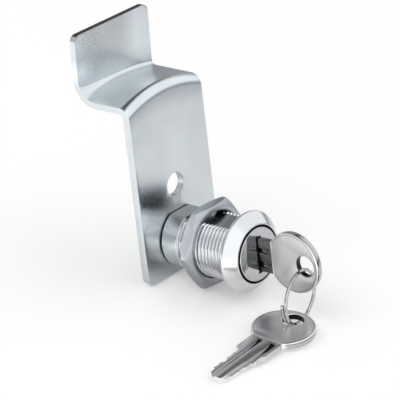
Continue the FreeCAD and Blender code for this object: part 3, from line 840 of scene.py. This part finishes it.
def thread_skin(sizes, angles):
    """Points and faces of the threaded stretch, with rows that follow the helix."""
    root_r = sizes.thread_d / 2 - sizes.depth
    half_flats = sizes.across_flats / 2
    length = sizes.thread_end
    run_in, run_out = 0.5 * MM, 0.7 * MM
    rows_per_turn = len(THREAD_PHASES)
    turns = math.ceil(length / sizes.pitch) + 1
    points = []
    for row in range(-rows_per_turn, rows_per_turn * turns + 1):
        turned_by = row // rows_per_turn + THREAD_PHASES[row % rows_per_turn]
        height = thread_height(THREAD_PHASES[row % rows_per_turn])
        for angle in angles:
            y = sizes.pitch * (turned_by - angle / FULL_TURN)
            y = min(max(y, 0.0), length)
            fade = min(1.0, (y - sizes.undercut) / run_in, (length - y) / run_out)
            fade = max(0.0, fade)
            radius = root_r + sizes.depth * height * fade
            radius = flat_limit(radius, angle, half_flats)
            points.append((radius * math.cos(angle), y, radius * math.sin(angle)))
    count = len(angles)
    rows = len(points) // count
    faces = []
    for row in range(rows - 1):
        for column in range(count - 1):
            first = row * count + column
            faces.append((first, first + 1, first + count + 1, first + count))
        if row >= rows_per_turn:
            first = row * count + count - 1
            below = (row - rows_per_turn) * count
            faces.append((first, below, below + count, first + count))
    return points, faces


def ring_at(radii, angles, y):
    """Points round the lock's axis at one place along it."""
    return [(r * math.cos(a), y, r * math.sin(a)) for r, a in zip(radii, angles)]


def rear_rings(sizes, angles, front, rear):
    """Rings from the end of the thread over the rear band and back through the bore to the front face."""
    root_r = sizes.thread_d / 2 - sizes.depth
    band_r = sizes.band_d / 2
    bore_r = sizes.bore_d / 2
    recess_r = sizes.recess_d / 2
    recess_y = front + sizes.recess_depth
    groove_half = sizes.groove_w / 2
    bevel = 0.15 * MM
    window_start, window_end = math.radians(69), math.radians(201)

    def flat_ring(radius, y):
        return ring_at([flat_limit(radius, a, sizes.across_flats / 2) for a in angles], angles, y)

    def round_ring(radius, y):
        return ring_at([radius] * len(angles), angles, y)

    def window_ring(y):
        depths = [sizes.window_depth if window_start <= a <= window_end else 0.0 for a in angles]
        return ring_at([bore_r + depth for depth in depths], angles, y)

    def groove_ring(y):
        radii = []
        for a in angles:
            r = bore_r + sizes.groove_depth
            if abs(r * math.cos(a)) > groove_half:
                r = min(r, max(bore_r, groove_half / abs(math.cos(a))))
            radii.append(r)
        return ring_at(radii, angles, y)

    return [flat_ring(root_r, sizes.thread_end),
            flat_ring(band_r - bevel, sizes.thread_end),
            flat_ring(band_r, sizes.thread_end + bevel),
            flat_ring(band_r, rear - sizes.rear_chamfer),
            flat_ring(band_r - sizes.rear_chamfer, rear),
            window_ring(rear), window_ring(sizes.window_at),
            round_ring(bore_r, sizes.window_at), round_ring(bore_r, sizes.groove_end),
            groove_ring(sizes.groove_end), groove_ring(recess_y),
            round_ring(recess_r, recess_y), round_ring(recess_r, front + 1.5 * bevel),
            round_ring(recess_r + 0.5 * bevel, front + 0.4 * bevel),
            round_ring(recess_r + 1.4 * bevel, front)]


def head_profile(sizes, front, head_r):
    """Head from its front face over the blunted nose, the cone and the rim to the panel seat."""
    nose_r = sizes.nose_d / 2
    rim_y = -sizes.head_rim
    slope = Vector((head_r - nose_r, rim_y - front)).normalized()
    blunt, edge = 0.35 * MM, 0.22 * MM
    nose = curved((nose_r - blunt * 0.6, front), (nose_r, front),
                  (nose_r + slope.x * blunt, front + slope.y * blunt), steps=5)
    rim = curved((head_r - slope.x * edge, rim_y - slope.y * edge), (head_r, rim_y),
                 (head_r, rim_y + edge), steps=4)
    return nose + rim + [(head_r, -edge), (head_r - 0.3 * edge, -0.3 * edge), (head_r - edge, 0.0)]


class LOCK_OT_barrel(bpy.types.Operator):
    """Threaded barrel with its two flats, round head and plain rear band"""
    bl_idname = "lock.barrel"
    bl_label = "Barrel"

    def execute(self, context):
        sizes = context.scene.lock_barrel
        low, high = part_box("barrel")
        angles = barrel_angles()
        points, faces = thread_skin(sizes, angles)
        rings = rear_rings(sizes, angles, low.y, high.y)
        rings += [ring_at([r] * len(angles), angles, y) for r, y in head_profile(sizes, low.y, high.x)]
        root_r = sizes.thread_d / 2 - sizes.depth
        rings.append(ring_at([flat_limit(root_r, a, sizes.across_flats / 2) for a in angles], angles, 0.0))
        more_points, more_faces = skin(rings)
        shift = len(points)
        faces += [tuple(i + shift for i in face) for face in more_faces]
        piece = new_piece("lock_barrel", points + more_points, faces, barrel_chrome(), smooth_deg=28.0)
        dress(piece, "lock_body", "chromed_zinc", "barrel")
        return {"FINISHED"}


class LOCK_OT_nut(bpy.types.Operator):
    """Hexagon nut with chamfered corners, run up the barrel's thread"""
    bl_idname = "lock.nut"
    bl_label = "Nut"

    def execute(self, context):
        sizes = context.scene.lock_nut
        low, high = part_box("hex_nut")
        half_flats = high.z
        land = half_flats - sizes.chamfer
        bore_r = sizes.bore_d / 2
        rise = math.tan(math.radians(30))
        corner_blunt = 0.12 * MM
        steps = 72
        sections = []
        for step in range(steps):
            angle = FULL_TURN * step / steps
            from_flat = angle % (FULL_TURN / 6) - FULL_TURN / 12
            outer = min(half_flats / math.cos(from_flat), high.x - corner_blunt)
            slope = (outer - land) * rise
            front = [(bore_r, low.y + sizes.chamfer), (bore_r + sizes.chamfer, low.y), (land, low.y),
                     ((land + outer) / 2, low.y + slope / 2), (outer, low.y + slope)]
            back = [(r, high.y - (y - low.y)) for r, y in reversed(front)]
            sections.append([(r * math.cos(angle), y, r * math.sin(angle)) for r, y in front + back])
        rings = [list(ring) for ring in zip(*sections)]
        rings.append(rings[0])
        points, faces = skin(rings)
        smooth_deg = 20.0
        piece = new_piece("hexagon_nut", points, faces, nut_zinc(), smooth_deg)
        soften(piece, 0.10 * MM, steps=2, above_deg=22.0, smooth_deg=smooth_deg)
        dress(piece, "nut", "zinc_plated_nut", "hex_nut")
        return {"FINISHED"}


# Plug

def keyway_outline(sizes):
    """Keyway seen from the front, with two wards that reach into the key's grooves."""
    left = sizes.keyway_x - sizes.keyway_w / 2
    right = sizes.keyway_x + sizes.keyway_w / 2
    half_h = sizes.keyway_h / 2
    ward_gap = 0.15 * MM
    outline = [(left, -half_h)]
    for height, width in sorted(KEY_GROOVES):
        half = width / 2 - ward_gap
        outline += [(left, height - half), (left + sizes.ward, height - half),
                    (left + sizes.ward, height + half), (left, height + half)]
    return outline + [(left, half_h), (right, half_h), (right, -half_h)]


def cut_wafer_slots(piece, core_r, material):
    """Slots for the wafers, each with room above or below its lug, by turns, for its spring."""
    gap = 0.05 * MM
    half = 2.9 * MM + gap
    lug = 1.5 * MM
    lift = 0.55 * MM + gap
    reach = core_r + MM
    for number in range(1, WAFERS + 1):
        low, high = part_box("wafer_" + str(number))
        front, back = low.y - gap, high.y + gap
        cut(piece, block("slot", (-half, front, -reach), (half, back, reach), material))
        upward = number % 2 == 1
        bottom = -gap if upward else -lug - lift
        top = lug + lift if upward else gap
        cut(piece, block("lug_slot", (0.0, front, bottom), (high.x + gap, back, top), material))


class LOCK_OT_plug(bpy.types.Operator):
    """Plug with its polished face, warded keyway, wafer slots and square stem"""
    bl_idname = "lock.plug"
    bl_label = "Plug"

    def execute(self, context):
        sizes = context.scene.lock_plug
        low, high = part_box("plug")
        front, seat = low.y, low.y + sizes.face_h
        face_r, core_r = sizes.face_d / 2, sizes.core_d / 2
        rim_start, rim_end = (face_r - sizes.edge, front), (face_r, front + sizes.edge)
        profile = [(0.0, front), (face_r * 0.5, front), rim_start] + quarter_turn(rim_start, rim_end, steps=4)
        profile += [(face_r, seat), (core_r, seat), (core_r, sizes.core_end), (0.0, sizes.core_end)]
        material = plug_polish()
        piece = turned("lock_plug", profile, material, steps=128)
        side = sizes.stem / 2
        stem = block("stem", (-side, sizes.core_end - 1.0 * MM, -side), (side, high.y, side), material)
        cut(piece, stem, "UNION")
        keyway_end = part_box("key_1")[1].y + 0.6 * MM
        cut(piece, along_y(prism("keyway", keyway_outline(sizes), front - MM, keyway_end, material)))
        cut_wafer_slots(piece, core_r, material)
        screw_bore_r = 2.55 * MM
        screw_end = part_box("cam_screw")[0].y
        cut(piece, rod("screw_bore", screw_bore_r, screw_end - MM, high.y + MM, 0.0, material, steps=48))
        clean(piece)
        soften(piece, 0.05 * MM, steps=1, above_deg=60.0)
        dress(piece, "plug_set", "chromed_plug", "plug")
        return {"FINISHED"}


# Cam plate

def shelf_height(sizes, x, half, along):
    """Height of the arched shelf, whose crown falls and whose arch flattens towards the tip, from 0 to 1."""
    drop = sizes.crease_drop * along
    rise = sizes.arch_r - math.sqrt(sizes.arch_r ** 2 - half ** 2) - drop
    radius = (half ** 2 + rise ** 2) / (2 * rise)
    return sizes.shelf_top - drop - radius + math.sqrt(radius ** 2 - x * x)


def cam_lines(sizes, x, low, high, rows):
    """Points up the front and the back surface at one place across the plate, from the foot to the tip."""
    plate_y = low.y
    back_y = plate_y + sizes.thickness
    tip_y = plate_y + sizes.tip_back
    tip_back = tip_y + sizes.shelf_t
    lean = math.tan(sizes.lean)
    outer, inner = sizes.bend_r, sizes.inner_r
    to_left = (1 - x / high.x) / 2
    foot_r = sizes.tip_right_r + (sizes.tip_left_r - sizes.tip_right_r) * to_left ** sizes.tip_fade
    heel_r = foot_r + sizes.shelf_t

    def top_at(y):
        return shelf_height(sizes, x, high.x, (y - plate_y) / (tip_back - plate_y))

    def under_at(y):
        return top_at(y) - sizes.shelf_t

    def leaned(y, z, amount):
        return (y - amount * lean * (z - sizes.shelf_top), z)

    low_corner = [low.z + rise for rise in rows["low_corner"]]
    start = low_corner[-1]
    front = [(plate_y, z) for z in low_corner]
    back = [(back_y, z) for z in low_corner]
    for step in range(1, rows["foot"] + 1):
        front.append((plate_y, start + (top_at(plate_y) - outer - start) * step / rows["foot"]))
        back.append((back_y, start + (under_at(back_y) - inner - start) * step / rows["foot"]))
    for step in range(1, rows["bend"]):
        a = math.pi / 2 * step / rows["bend"]
        y = plate_y + outer * (1 - math.cos(a))
        front.append((y, top_at(y) - outer * (1 - math.sin(a))))
        y = back_y + inner * (1 - math.cos(a))
        back.append((y, under_at(y) - inner * (1 - math.sin(a))))
    for step in range(rows["shelf"] + 1):
        share_along = step / rows["shelf"]
        y = plate_y + outer + (tip_y - foot_r - plate_y - outer) * share_along
        front.append((y, top_at(y)))
        y = back_y + inner + (tip_back - heel_r - back_y - inner) * share_along
        back.append((y, under_at(y)))
    for step in range(1, rows["bend"]):
        a = math.pi / 2 * step / rows["bend"]
        amount = step / rows["bend"]
        y = tip_y - foot_r * (1 - math.sin(a))
        front.append(leaned(y, top_at(y) + foot_r * (1 - math.cos(a)), amount))
        y = tip_back - heel_r * (1 - math.sin(a))
        back.append(leaned(y, under_at(y) + heel_r * (1 - math.cos(a)), amount))
    foot_end, heel_end = top_at(tip_y) + foot_r, under_at(tip_back) + heel_r
    high_corner = [high.z - fall for fall in rows["high_corner"]]
    end = high_corner[0]
    for step in range(rows["tip"]):
        front.append(leaned(tip_y, foot_end + (end - foot_end) * step / rows["tip"], 1.0))
        back.append(leaned(tip_back, heel_end + (end - heel_end) * step / rows["tip"], 1.0))
    front += [leaned(tip_y, z, 1.0) for z in high_corner]
    back += [leaned(tip_back, z, 1.0) for z in high_corner]
    return front, back


def cam_skin(sizes, low, high):
    """Points and faces of the bent sheet, whose rows narrow at the foot's and the tip's round corners."""
    half = high.x
    bottom, top = sizes.corner, sizes.tip_corner
    corner_steps, columns = 8, 28
    quarter = [math.pi / 2 * step / corner_steps for step in range(corner_steps + 1)]
    rows = {"foot": 10, "bend": 8, "shelf": 6, "tip": 6,
            "low_corner": [bottom * (1 - math.cos(a)) for a in quarter],
            "high_corner": [top * (1 - math.cos(a)) for a in reversed(quarter)]}
    count = 2 * len(quarter) + rows["foot"] + 2 * (rows["bend"] - 1) + rows["shelf"] + 1 + rows["tip"]
    widths = [half] * count
    for step, a in enumerate(quarter):
        widths[step] = half - bottom * (1 - math.sin(a))
        widths[count - 1 - step] = half - top * (1 - math.sin(a))
    front_lines, back_lines = [], []
    for column in range(columns + 1):
        spread = 2 * column / columns - 1
        front, back = cam_lines(sizes, spread * half, low, high, rows)
        front_lines.append([(spread * w, y, z) for w, (y, z) in zip(widths, front)])
        back_lines.append([(spread * w, y, z) for w, (y, z) in zip(widths, back)])
    rings = []
    for row in range(count):
        rings.append([line[row] for line in front_lines] + [line[row] for line in reversed(back_lines)])
    points, faces = skin(rings)
    width = columns + 1
    last = (count - 1) * 2 * width
    for column in range(columns):
        opposite = 2 * width - 1 - column
        for start in (0, last):
            faces.append((start + column, start + column + 1, start + opposite - 1, start + opposite))
    return points, faces


class LOCK_OT_cam(bpy.types.Operator):
    """Cam plate: flat foot, arched shelf and raised tip, bent from one sheet"""
    bl_idname = "lock.cam"
    bl_label = "Cam plate"

    def execute(self, context):
        sizes = context.scene.lock_cam
        low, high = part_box("cam_plate")
        points, faces = cam_skin(sizes, low, high)
        material = zinc_plate()
        smooth_deg = 30.0
        piece = new_piece("cam_hook", points, faces, material, smooth_deg)
        front, back = low.y - MM, low.y + sizes.thickness + MM
        side = sizes.square / 2
        cut(piece, rod("hole", sizes.hole_d / 2, front, back, sizes.hole_up, material, steps=64))
        cut(piece, block("square", (-side, front, -side), (side, back, side), material))
        clean(piece, smooth_deg)
        soften(piece, sizes.edge, steps=3, above_deg=50.0, smooth_deg=smooth_deg)
        dress(piece, "plug_set", "zinc_plated_plate", "cam_plate")
        return {"FINISHED"}


class LOCK_OT_cam_screw(bpy.types.Operator):
    """Cross-slotted screw, split spring washer and flat washer that hold the cam"""
    bl_idname = "lock.cam_screw"
    bl_label = "Cam screw and washers"

    def execute(self, context):
        material = fastener_zinc()
        self.screw(material)
        self.washer("cam_washer", "flat_washer", 0.12 * MM, 0.0, material)
        self.washer("spring_washer", "split_washer", 0.08 * MM, 0.8 * MM, material)
        return {"FINISHED"}

    def screw(self, material):
        low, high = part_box("cam_screw")
        head_r, shank_r = high.x, 2.5 * MM
        under = high.y - 3.0 * MM
        crown, end_bevel, rim_bevel = 1.0 * MM, 0.3 * MM, 0.1 * MM
        profile = [(0.0, low.y), (shank_r - end_bevel, low.y), (shank_r, low.y + end_bevel), (shank_r, under),
                   (head_r - rim_bevel, under), (head_r, under + rim_bevel)]
        for step in range(7):
            a = math.pi / 2 * step / 6
            profile.append((head_r - crown + crown * math.cos(a), high.y - crown + crown * math.sin(a)))
        profile.append((0.0, high.y))
        screw = turned("cam_screw_head", profile, material, steps=72)
        floor, past = high.y - 1.6 * MM, high.y + MM
        for half_x, half_z in ((2.7 * MM, 0.6 * MM), (0.6 * MM, 2.7 * MM)):
            cut(screw, block("slot", (-half_x, floor, -half_z), (half_x, past, half_z), material))
        clean(screw)
        dress(screw, "plug_set", "zinc_plated_steel", "cam_screw")

    def washer(self, node, name, bevel, slit, material):
        low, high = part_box(node)
        outer, inner = high.x, 2.6 * MM
        profile = [(inner, low.y), (outer - bevel, low.y), (outer, low.y + bevel), (outer, high.y - bevel),
                   (outer - bevel, high.y), (inner, high.y)]
        washer = turned(name, profile, material, steps=72)
        if slit:
            start, end = (-slit / 2, low.y - MM, 0.0), (slit / 2, high.y + MM, outer + MM)
            cut(washer, block("slit", start, end, material))
            clean(washer)
        dress(washer, "plug_set", "zinc_plated_steel", node)


# Keys and ring

def blade_edge(sizes, code, side):
    """One long edge of the blade, from the neck to the tip."""
    half_w = sizes.blade_w / 2
    heights = [half_w - sizes.cut_step * cut_code for cut_code in code]
    half = sizes.cut_flat / 2
    line = [(sizes.first_cut - half - sizes.ramp, side * half_w)]
    for index, height in enumerate(heights):
        at = sizes.first_cut + index * sizes.cut_pitch
        line += [(at - half, side * height), (at + half, side * height)]
        if index + 1 < len(heights):
            land = max(height, heights[index + 1]) + sizes.land
            line.append((at + sizes.cut_pitch / 2, side * land))
    end = sizes.first_cut + (len(code) - 1) * sizes.cut_pitch + half + sizes.tip_l
    line.append((end, side * sizes.tip_w / 2))
    return line


def key_shoulder(sizes):
    """Far end of the bow to where the blade's edges leave it."""
    radius = sizes.bow_d / 2
    return radius + math.sqrt(radius ** 2 - sizes.blade_w ** 2 / 4)


def key_blade(sizes, inside, material):
    """Blade from inside the bow to the tip, with its cut edges and milled grooves."""
    half_w = sizes.blade_w / 2
    face = (sizes.bow_t - sizes.blade_t) / 2
    outline = [(inside, half_w)] + blade_edge(sizes, TOP_CODE, 1)
    outline += reversed([(inside, -half_w)] + blade_edge(sizes, BOTTOM_CODE, -1))
    blade = prism("blade", outline, face, face + sizes.blade_t, material)
    start, run, deep = sizes.groove_from, sizes.groove_run, sizes.groove_depth
    cutter_r = (run * run + deep * deep) / (2 * deep)
    past_tip = start + 40 * MM
    side = [(start, -MM)]
    for step in range(7):
        back = run * (1 - step / 6)
        side.append((start + run - back, face + deep - (cutter_r - math.sqrt(cutter_r ** 2 - back ** 2))))
    side += [(past_tip, face + deep), (past_tip, -MM)]
    for height, width in KEY_GROOVES:
        cut(blade, along_y(prism("groove", side, height - width / 2, height + width / 2, material)))
    clean(blade)
    soften(blade, 0.10 * MM, steps=2, above_deg=30.0)
    return blade


def make_key(name, material):
    """Key in its own frame: X from the far end of the bow to the tip, Y across, Z through."""
    sizes = bpy.context.scene.lock_key
    radius, half_blade, hole_r = sizes.bow_d / 2, sizes.blade_w / 2, sizes.hole_d / 2
    shoulder = key_shoulder(sizes)
    past = math.asin(half_blade / radius)
    steps = 72
    outline = []
    for step in range(steps + 1):
        angle = past + (FULL_TURN - 2 * past) * step / steps
        outline.append((radius + radius * math.cos(angle), radius * math.sin(angle)))
    key = prism(name, outline, 0.0, sizes.bow_t, material)
    hole = [(sizes.hole_in + hole_r * cosine, hole_r * sine) for cosine, sine in circle(48)]
    cut(key, prism("hole", hole, -MM, sizes.bow_t + MM, material))
    clean(key)
    soften(key, sizes.bow_edge, steps=3, above_deg=50.0)
    inside = shoulder - 1.5 * MM
    root = block("root", (inside, -half_blade, 0.0), (shoulder, half_blade, sizes.bow_t), material)
    cut(key, root, "UNION")
    cut(key, key_blade(sizes, inside, material), "UNION")
    clean(key)
    in_key = key.data.attributes.new("in_key", "FLOAT_VECTOR", "POINT")
    for vertex in key.data.vertices:
        in_key.data[vertex.index].vector = vertex.co
    return key


def ring_frame():
    """Matrix whose columns are the ring's rightward, upward and axial directions and its centre."""
    facts = [joint for joint in frame["joints"] if joint["name"] == "loose_key_swing"][0]
    centre = Vector(facts["pos_m"])
    axis = Vector(facts["axis"]).normalized()
    right = Vector((0, 0, 1)).cross(axis).normalized()
    up = axis.cross(right)
    placed = Matrix((right, up, axis)).transposed().to_4x4()
    placed.translation = centre
    return placed


def key_1_matrix():
    """Upright in the keyway, its grooved face towards -X."""
    sizes = bpy.context.scene.lock_key
    x = bpy.context.scene.lock_plug.keyway_x - sizes.bow_t / 2
    placed = Matrix(((0, 0, 1), (1, 0, 0), (0, 1, 0))).to_4x4()
    placed.translation = Vector((x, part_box("key_1")[0].y, 0.0))
    return placed


def key_2_matrix():
    """Lying down with the ring through its hole, its grooved face up."""
    sizes = bpy.context.scene.lock_key
    ring = bpy.context.scene.lock_ring
    turned_by = (Matrix.Rotation(sizes.yaw, 3, "Z") @ Matrix.Rotation(sizes.pitch, 3, "Y")
                 @ Matrix.Rotation(sizes.roll, 3, "X"))
    face_up = Matrix(((-1, 0, 0), (0, 1, 0), (0, 0, -1)))
    placed = (turned_by @ face_up).to_4x4()
    radius = ring.ring_d / 2
    wire = ring_frame() @ Vector((radius * math.sin(sizes.lie), radius * math.cos(sizes.lie), 0))
    in_key = Vector((sizes.hole_in + sizes.shift, 0, sizes.bow_t / 2))
    placed.translation = wire - placed.to_3x3() @ in_key
    return placed


class LOCK_OT_keys(bpy.types.Operator):
    """Key in the lock and key on the ring, each with cut edges and milled grooves"""
    bl_idname = "lock.keys"
    bl_label = "Keys"

    def execute(self, context):
        start = context.scene.lock_key.groove_from
        at_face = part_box("plug")[0].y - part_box("key_1")[0].y
        # Painted shade and light per key: the key in the lock has its blade painted far darker, the loose key
        # has its bow painted lighter.
        self.key("key_in_lock", "key_1", "inserted_key", key_1_matrix(), bow_shade=0.85, blade_shade=0.24,
                 worn_edge=1.0, film_from=at_face - 1.4 * MM, film_to=at_face + 9 * MM)
        self.key("key_on_ring", "key_2", "loose_key", key_2_matrix(), bow_shade=1.60, blade_shade=0.88,
                 worn_edge=0.0, film_from=start, film_to=start + 6.5 * MM)
        return {"FINISHED"}

    def key(self, name, node, body, placed, **tone_and_shade):
        key = make_key(name, key_nickel(name + "_nickel", **tone_and_shade))
        key.data.transform(placed)
        dress(key, body, "nickelled_brass", node)


class LOCK_OT_ring(bpy.types.Operator):
    """Wire ring wound a little more than once round"""
    bl_idname = "lock.ring"
    bl_label = "Key ring"

    def execute(self, context):
        sizes = context.scene.lock_ring
        placed = ring_frame()
        radius = sizes.ring_d / 2
        steps = 120
        path = []
        for step in range(steps + 1):
            turned_by = sizes.turns * step / steps
            angle = -sizes.start - FULL_TURN * turned_by
            along = sizes.pitch * (turned_by - sizes.turns / 2)
            path.append(placed @ Vector((radius * math.sin(angle), radius * math.cos(angle), along)))
        ring = tube("wire_ring", path, sizes.wire_d / 2, ring_nickel(), sides=18)
        soften(ring, 0.08 * MM, steps=2, above_deg=60.0, smooth_deg=50.0)
        dress(ring, "ring", "nickelled_wire", "key_ring")
        return {"FINISHED"}


def refinish(node, material):
    """Gives a piece of the frame a finish in place of its plain one."""
    materials = frame["nodes"][node].data.materials
    materials.clear()
    materials.append(material)


def coil_path(low, high, wire_r):
    """Upright coil that fills a box."""
    centre = (low + high) / 2
    radius = (high.x - low.x) / 2 - wire_r
    coils, per_coil = 6, 12
    path = []
    for step in range(coils * per_coil + 1):
        share_up = step / (coils * per_coil)
        angle = FULL_TURN * coils * share_up
        path.append(Vector((centre.x + radius * math.cos(angle), centre.y + radius * math.sin(angle),
                            low.z + wire_r + (high.z - low.z - 2 * wire_r) * share_up)))
    return path


class LOCK_OT_inner(bpy.types.Operator):
    """Wafers and stop disc, kept from the frame, and coil springs for the wafers"""
    bl_idname = "lock.inner"
    bl_label = "Inner pieces"

    def execute(self, context):
        brass, wire = wafer_brass(), spring_wire()
        wire_r = 0.11 * MM
        refinish("stop_disc", fastener_zinc())
        for number in range(1, WAFERS + 1):
            refinish("wafer_" + str(number), brass)
            node = "wafer_spring_" + str(number)
            path = coil_path(*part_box(node), wire_r)
            spring = tube("coil_spring_" + str(number), path, wire_r, wire, sides=8)
            dress(spring, "plug_set", "spring_steel", node)
        return {"FINISHED"}


# Stage

# The camera's place in metres, the way it looks and its upward direction
CAMERA_PLACE = (-0.5632, -0.5212, 0.3384)
CAMERA_WAY = (0.6674, 0.6367, -0.3862)
CAMERA_UP = (0.3569, 0.1817, 0.9163)
# How bright the room's parts are, where 1 is white
ROOM, BACK_WALL, CEILING, HORIZON = 0.62, 0.38, 0.80, 0.45
SOFTBOX, FRONT_BOARD, DARK_GAP = 1.25, 1.5, 0.06


def look_matrix(place, way, up):
    """Matrix that stands a lamp or camera at a place and turns it to look along a direction."""
    back = -Vector(way).normalized()
    right = Vector(up).cross(back).normalized()
    top = back.cross(right)
    placed = Matrix((right, top, back)).transposed().to_4x4()
    placed.translation = Vector(place)
    return placed


def floor_finish():
    """White paper that keeps the object's shadow; in reflections it glows with painted light, brighter near
    the front and in a patch on its left, and ends a hand's width away.
    """
    paper, dim_paper = (0.83, 0.82, 0.81, 1.0), (0.42, 0.42, 0.46, 1.0)
    black, white = (0.0, 0.0, 0.0, 1.0), (1.0, 1.0, 1.0, 1.0)
    lift, brightest = 0.265, 1.2
    finish = Finish("studio_floor", paper, 0.0, 0.9)
    camera = finish.light_path("Camera")
    mirrored = finish.light_path("Glossy", "Transmission")
    across, along = finish.axis("X"), finish.axis("Y")
    far = apart(across, along).ramp(0.18, 0.26) * across.ramp(-0.05, 0.05)
    # Painted light seen only in reflections: the floor glows brighter near the front and in a patch on its
    # left, fading out far away.
    left = across.ramp(-0.015, -0.050) * toward(0.5, 0.9, along.ramp(0.045, 0.015))
    reflected = toward(0.30 * along.ramp(0.04, -0.02) + left, 0.0, far)
    bright = (camera * lift + mirrored * reflected) * (1.0 / brightest)
    finish.tint(finish.blend(far * mirrored, paper, dim_paper))
    finish.glow(finish.blend(bright, black, white), brightest)
    return finish.material


def resting_floor(tilt):
    """A point of the tilted floor, which the lock's lowest point all but touches."""
    normal = Vector((0.0, -math.sin(tilt), math.cos(tilt)))
    lowest = min(normal.dot(vertex.co) for node in frame["nodes"].values() for vertex in node.data.vertices)
    clearance = 0.02 * MM
    return normal * (lowest - clearance)


class LOCK_OT_stage(bpy.types.Operator):
    """Floor, lamp, reflecting room and the camera at the photograph's angle"""
    bl_idname = "lock.stage"
    bl_label = "Stage"

    def execute(self, context):
        scene = context.scene
        sizes = scene.lock_stage
        reach = 3.0
        corners = [(-reach, -reach, 0), (reach, -reach, 0), (reach, reach, 0), (-reach, reach, 0)]
        mesh = bpy.data.meshes.new("floor")
        mesh.from_pydata(corners, [], [(0, 1, 2, 3)])
        floor = bpy.data.objects.new("floor", mesh)
        floor.rotation_euler = (sizes.floor_tilt, 0, 0)
        floor.location = resting_floor(sizes.floor_tilt)
        scene.collection.objects.link(floor)
        mesh.materials.append(floor_finish())
        self.world(scene)
        self.lamp(scene)
        self.camera(scene, sizes)
        scene.view_settings.view_transform = "Standard"
        return {"FINISHED"}

    def world(self, scene):
        """Light room with a bright softbox in front, a dark gap behind it and a dim back wall."""
        world = bpy.data.worlds.new("studio")
        scene.world = world
        world.use_nodes = True
        sky = Nodes(world.node_tree, "Generated")
        across, along, up = sky.axis("X"), sky.axis("Y"), sky.axis("Z")
        wall = across.ramp(0.25, 0.60) * along.ramp(0.35, 0.60) * up.ramp(0.55, 0.42)
        softbox = up.ramp(0.04, 0.10) * across.ramp(-0.1, 0.2) * along.ramp(0.12, 0.06)
        mirrored = sky.light_path("Glossy", "Transmission")
        front_left = across.ramp(0.25, 0.0) * along.ramp(-0.15, -0.35) * mirrored
        gap = (along - across * 0.8).ramp(-0.33, -0.25) * along.ramp(0.48, 0.41)
        gap = gap * up.ramp(0.45, 0.60) * across.ramp(-0.3, 0.0)
        room = toward(ROOM, BACK_WALL, wall)
        room = toward(room, CEILING, up.ramp(0.62, 0.78))
        room = toward(room, HORIZON, up.ramp(0.12, 0.02) * across.ramp(0.1, 0.4))
        room = toward(room, SOFTBOX, softbox)
        room = toward(room, FRONT_BOARD, front_left)
        room = toward(room, DARK_GAP, gap)
        seen = toward(room, 1.0, sky.light_path("Camera"))
        ground = world.node_tree.nodes["Background"]
        ground.inputs["Color"].default_value = (0.97, 0.98, 1.0, 1.0)
        world.node_tree.links.new(seen.socket, ground.inputs["Strength"])

    def lamp(self, scene):
        """A soft lamp above the plate's left, unseen in reflections, for the object's shadow."""
        light = bpy.data.lights.new("key_lamp", "AREA")
        light.shape = "SQUARE"
        light.size = 0.7
        light.energy = 2.5
        lamp = bpy.data.objects.new("key_lamp", light)
        lamp.matrix_world = look_matrix((-0.5, 0.1, 0.9), (0.5, -0.1, -0.9), (0, 0, 1))
        lamp.visible_glossy = False
        scene.collection.objects.link(lamp)

    def camera(self, scene, sizes):
        lens = bpy.data.cameras.new("camera")
        lens.lens = sizes.lens
        lens.sensor_width = 36.0
        lens.sensor_fit = "HORIZONTAL"
        lens.clip_start = 0.05
        lens.clip_end = 20.0
        camera = bpy.data.objects.new("camera", lens)
        camera.matrix_world = look_matrix(CAMERA_PLACE, CAMERA_WAY, CAMERA_UP)
        scene.collection.objects.link(camera)
        scene.camera = camera


class LOCK_PT_pieces(bpy.types.Panel):
    """Lists the lock's pieces and their sizes"""
    bl_idname = "LOCK_PT_pieces"
    bl_label = "Cam Lock"
    bl_space_type = "VIEW_3D"
    bl_region_type = "UI"
    bl_category = "Cam Lock"

    def draw(self, context):
        for operator in OPERATORS:
            self.layout.operator(operator.bl_idname)
        for name, group in GROUPS.items():
            box = self.layout.box()
            for key in group.__annotations__:
                box.prop(getattr(context.scene, name), key)


OPERATORS = (LOCK_OT_barrel, LOCK_OT_nut, LOCK_OT_plug, LOCK_OT_cam, LOCK_OT_cam_screw, LOCK_OT_keys,
             LOCK_OT_ring, LOCK_OT_inner, LOCK_OT_stage)


def register():
    for group in GROUPS.values():
        bpy.utils.register_class(group)
    for operator in OPERATORS:
        bpy.utils.register_class(operator)
    bpy.utils.register_class(LOCK_PT_pieces)
    for name, group in GROUPS.items():
        setattr(bpy.types.Scene, name, bpy.props.PointerProperty(type=group))


def unregister():
    for name in GROUPS:
        delattr(bpy.types.Scene, name)
    bpy.utils.unregister_class(LOCK_PT_pieces)
    for operator in reversed(OPERATORS):
        bpy.utils.unregister_class(operator)
    for group in reversed(list(GROUPS.values())):
        bpy.utils.unregister_class(group)


def main():
    register()
    for operator in OPERATORS:
        group, name = operator.bl_idname.split(".")
        result = getattr(getattr(bpy.ops, group), name)()
        if result != {"FINISHED"}:
            raise RuntimeError(operator.bl_label + " wasn't made")


if __name__ == "__main__":
    main()
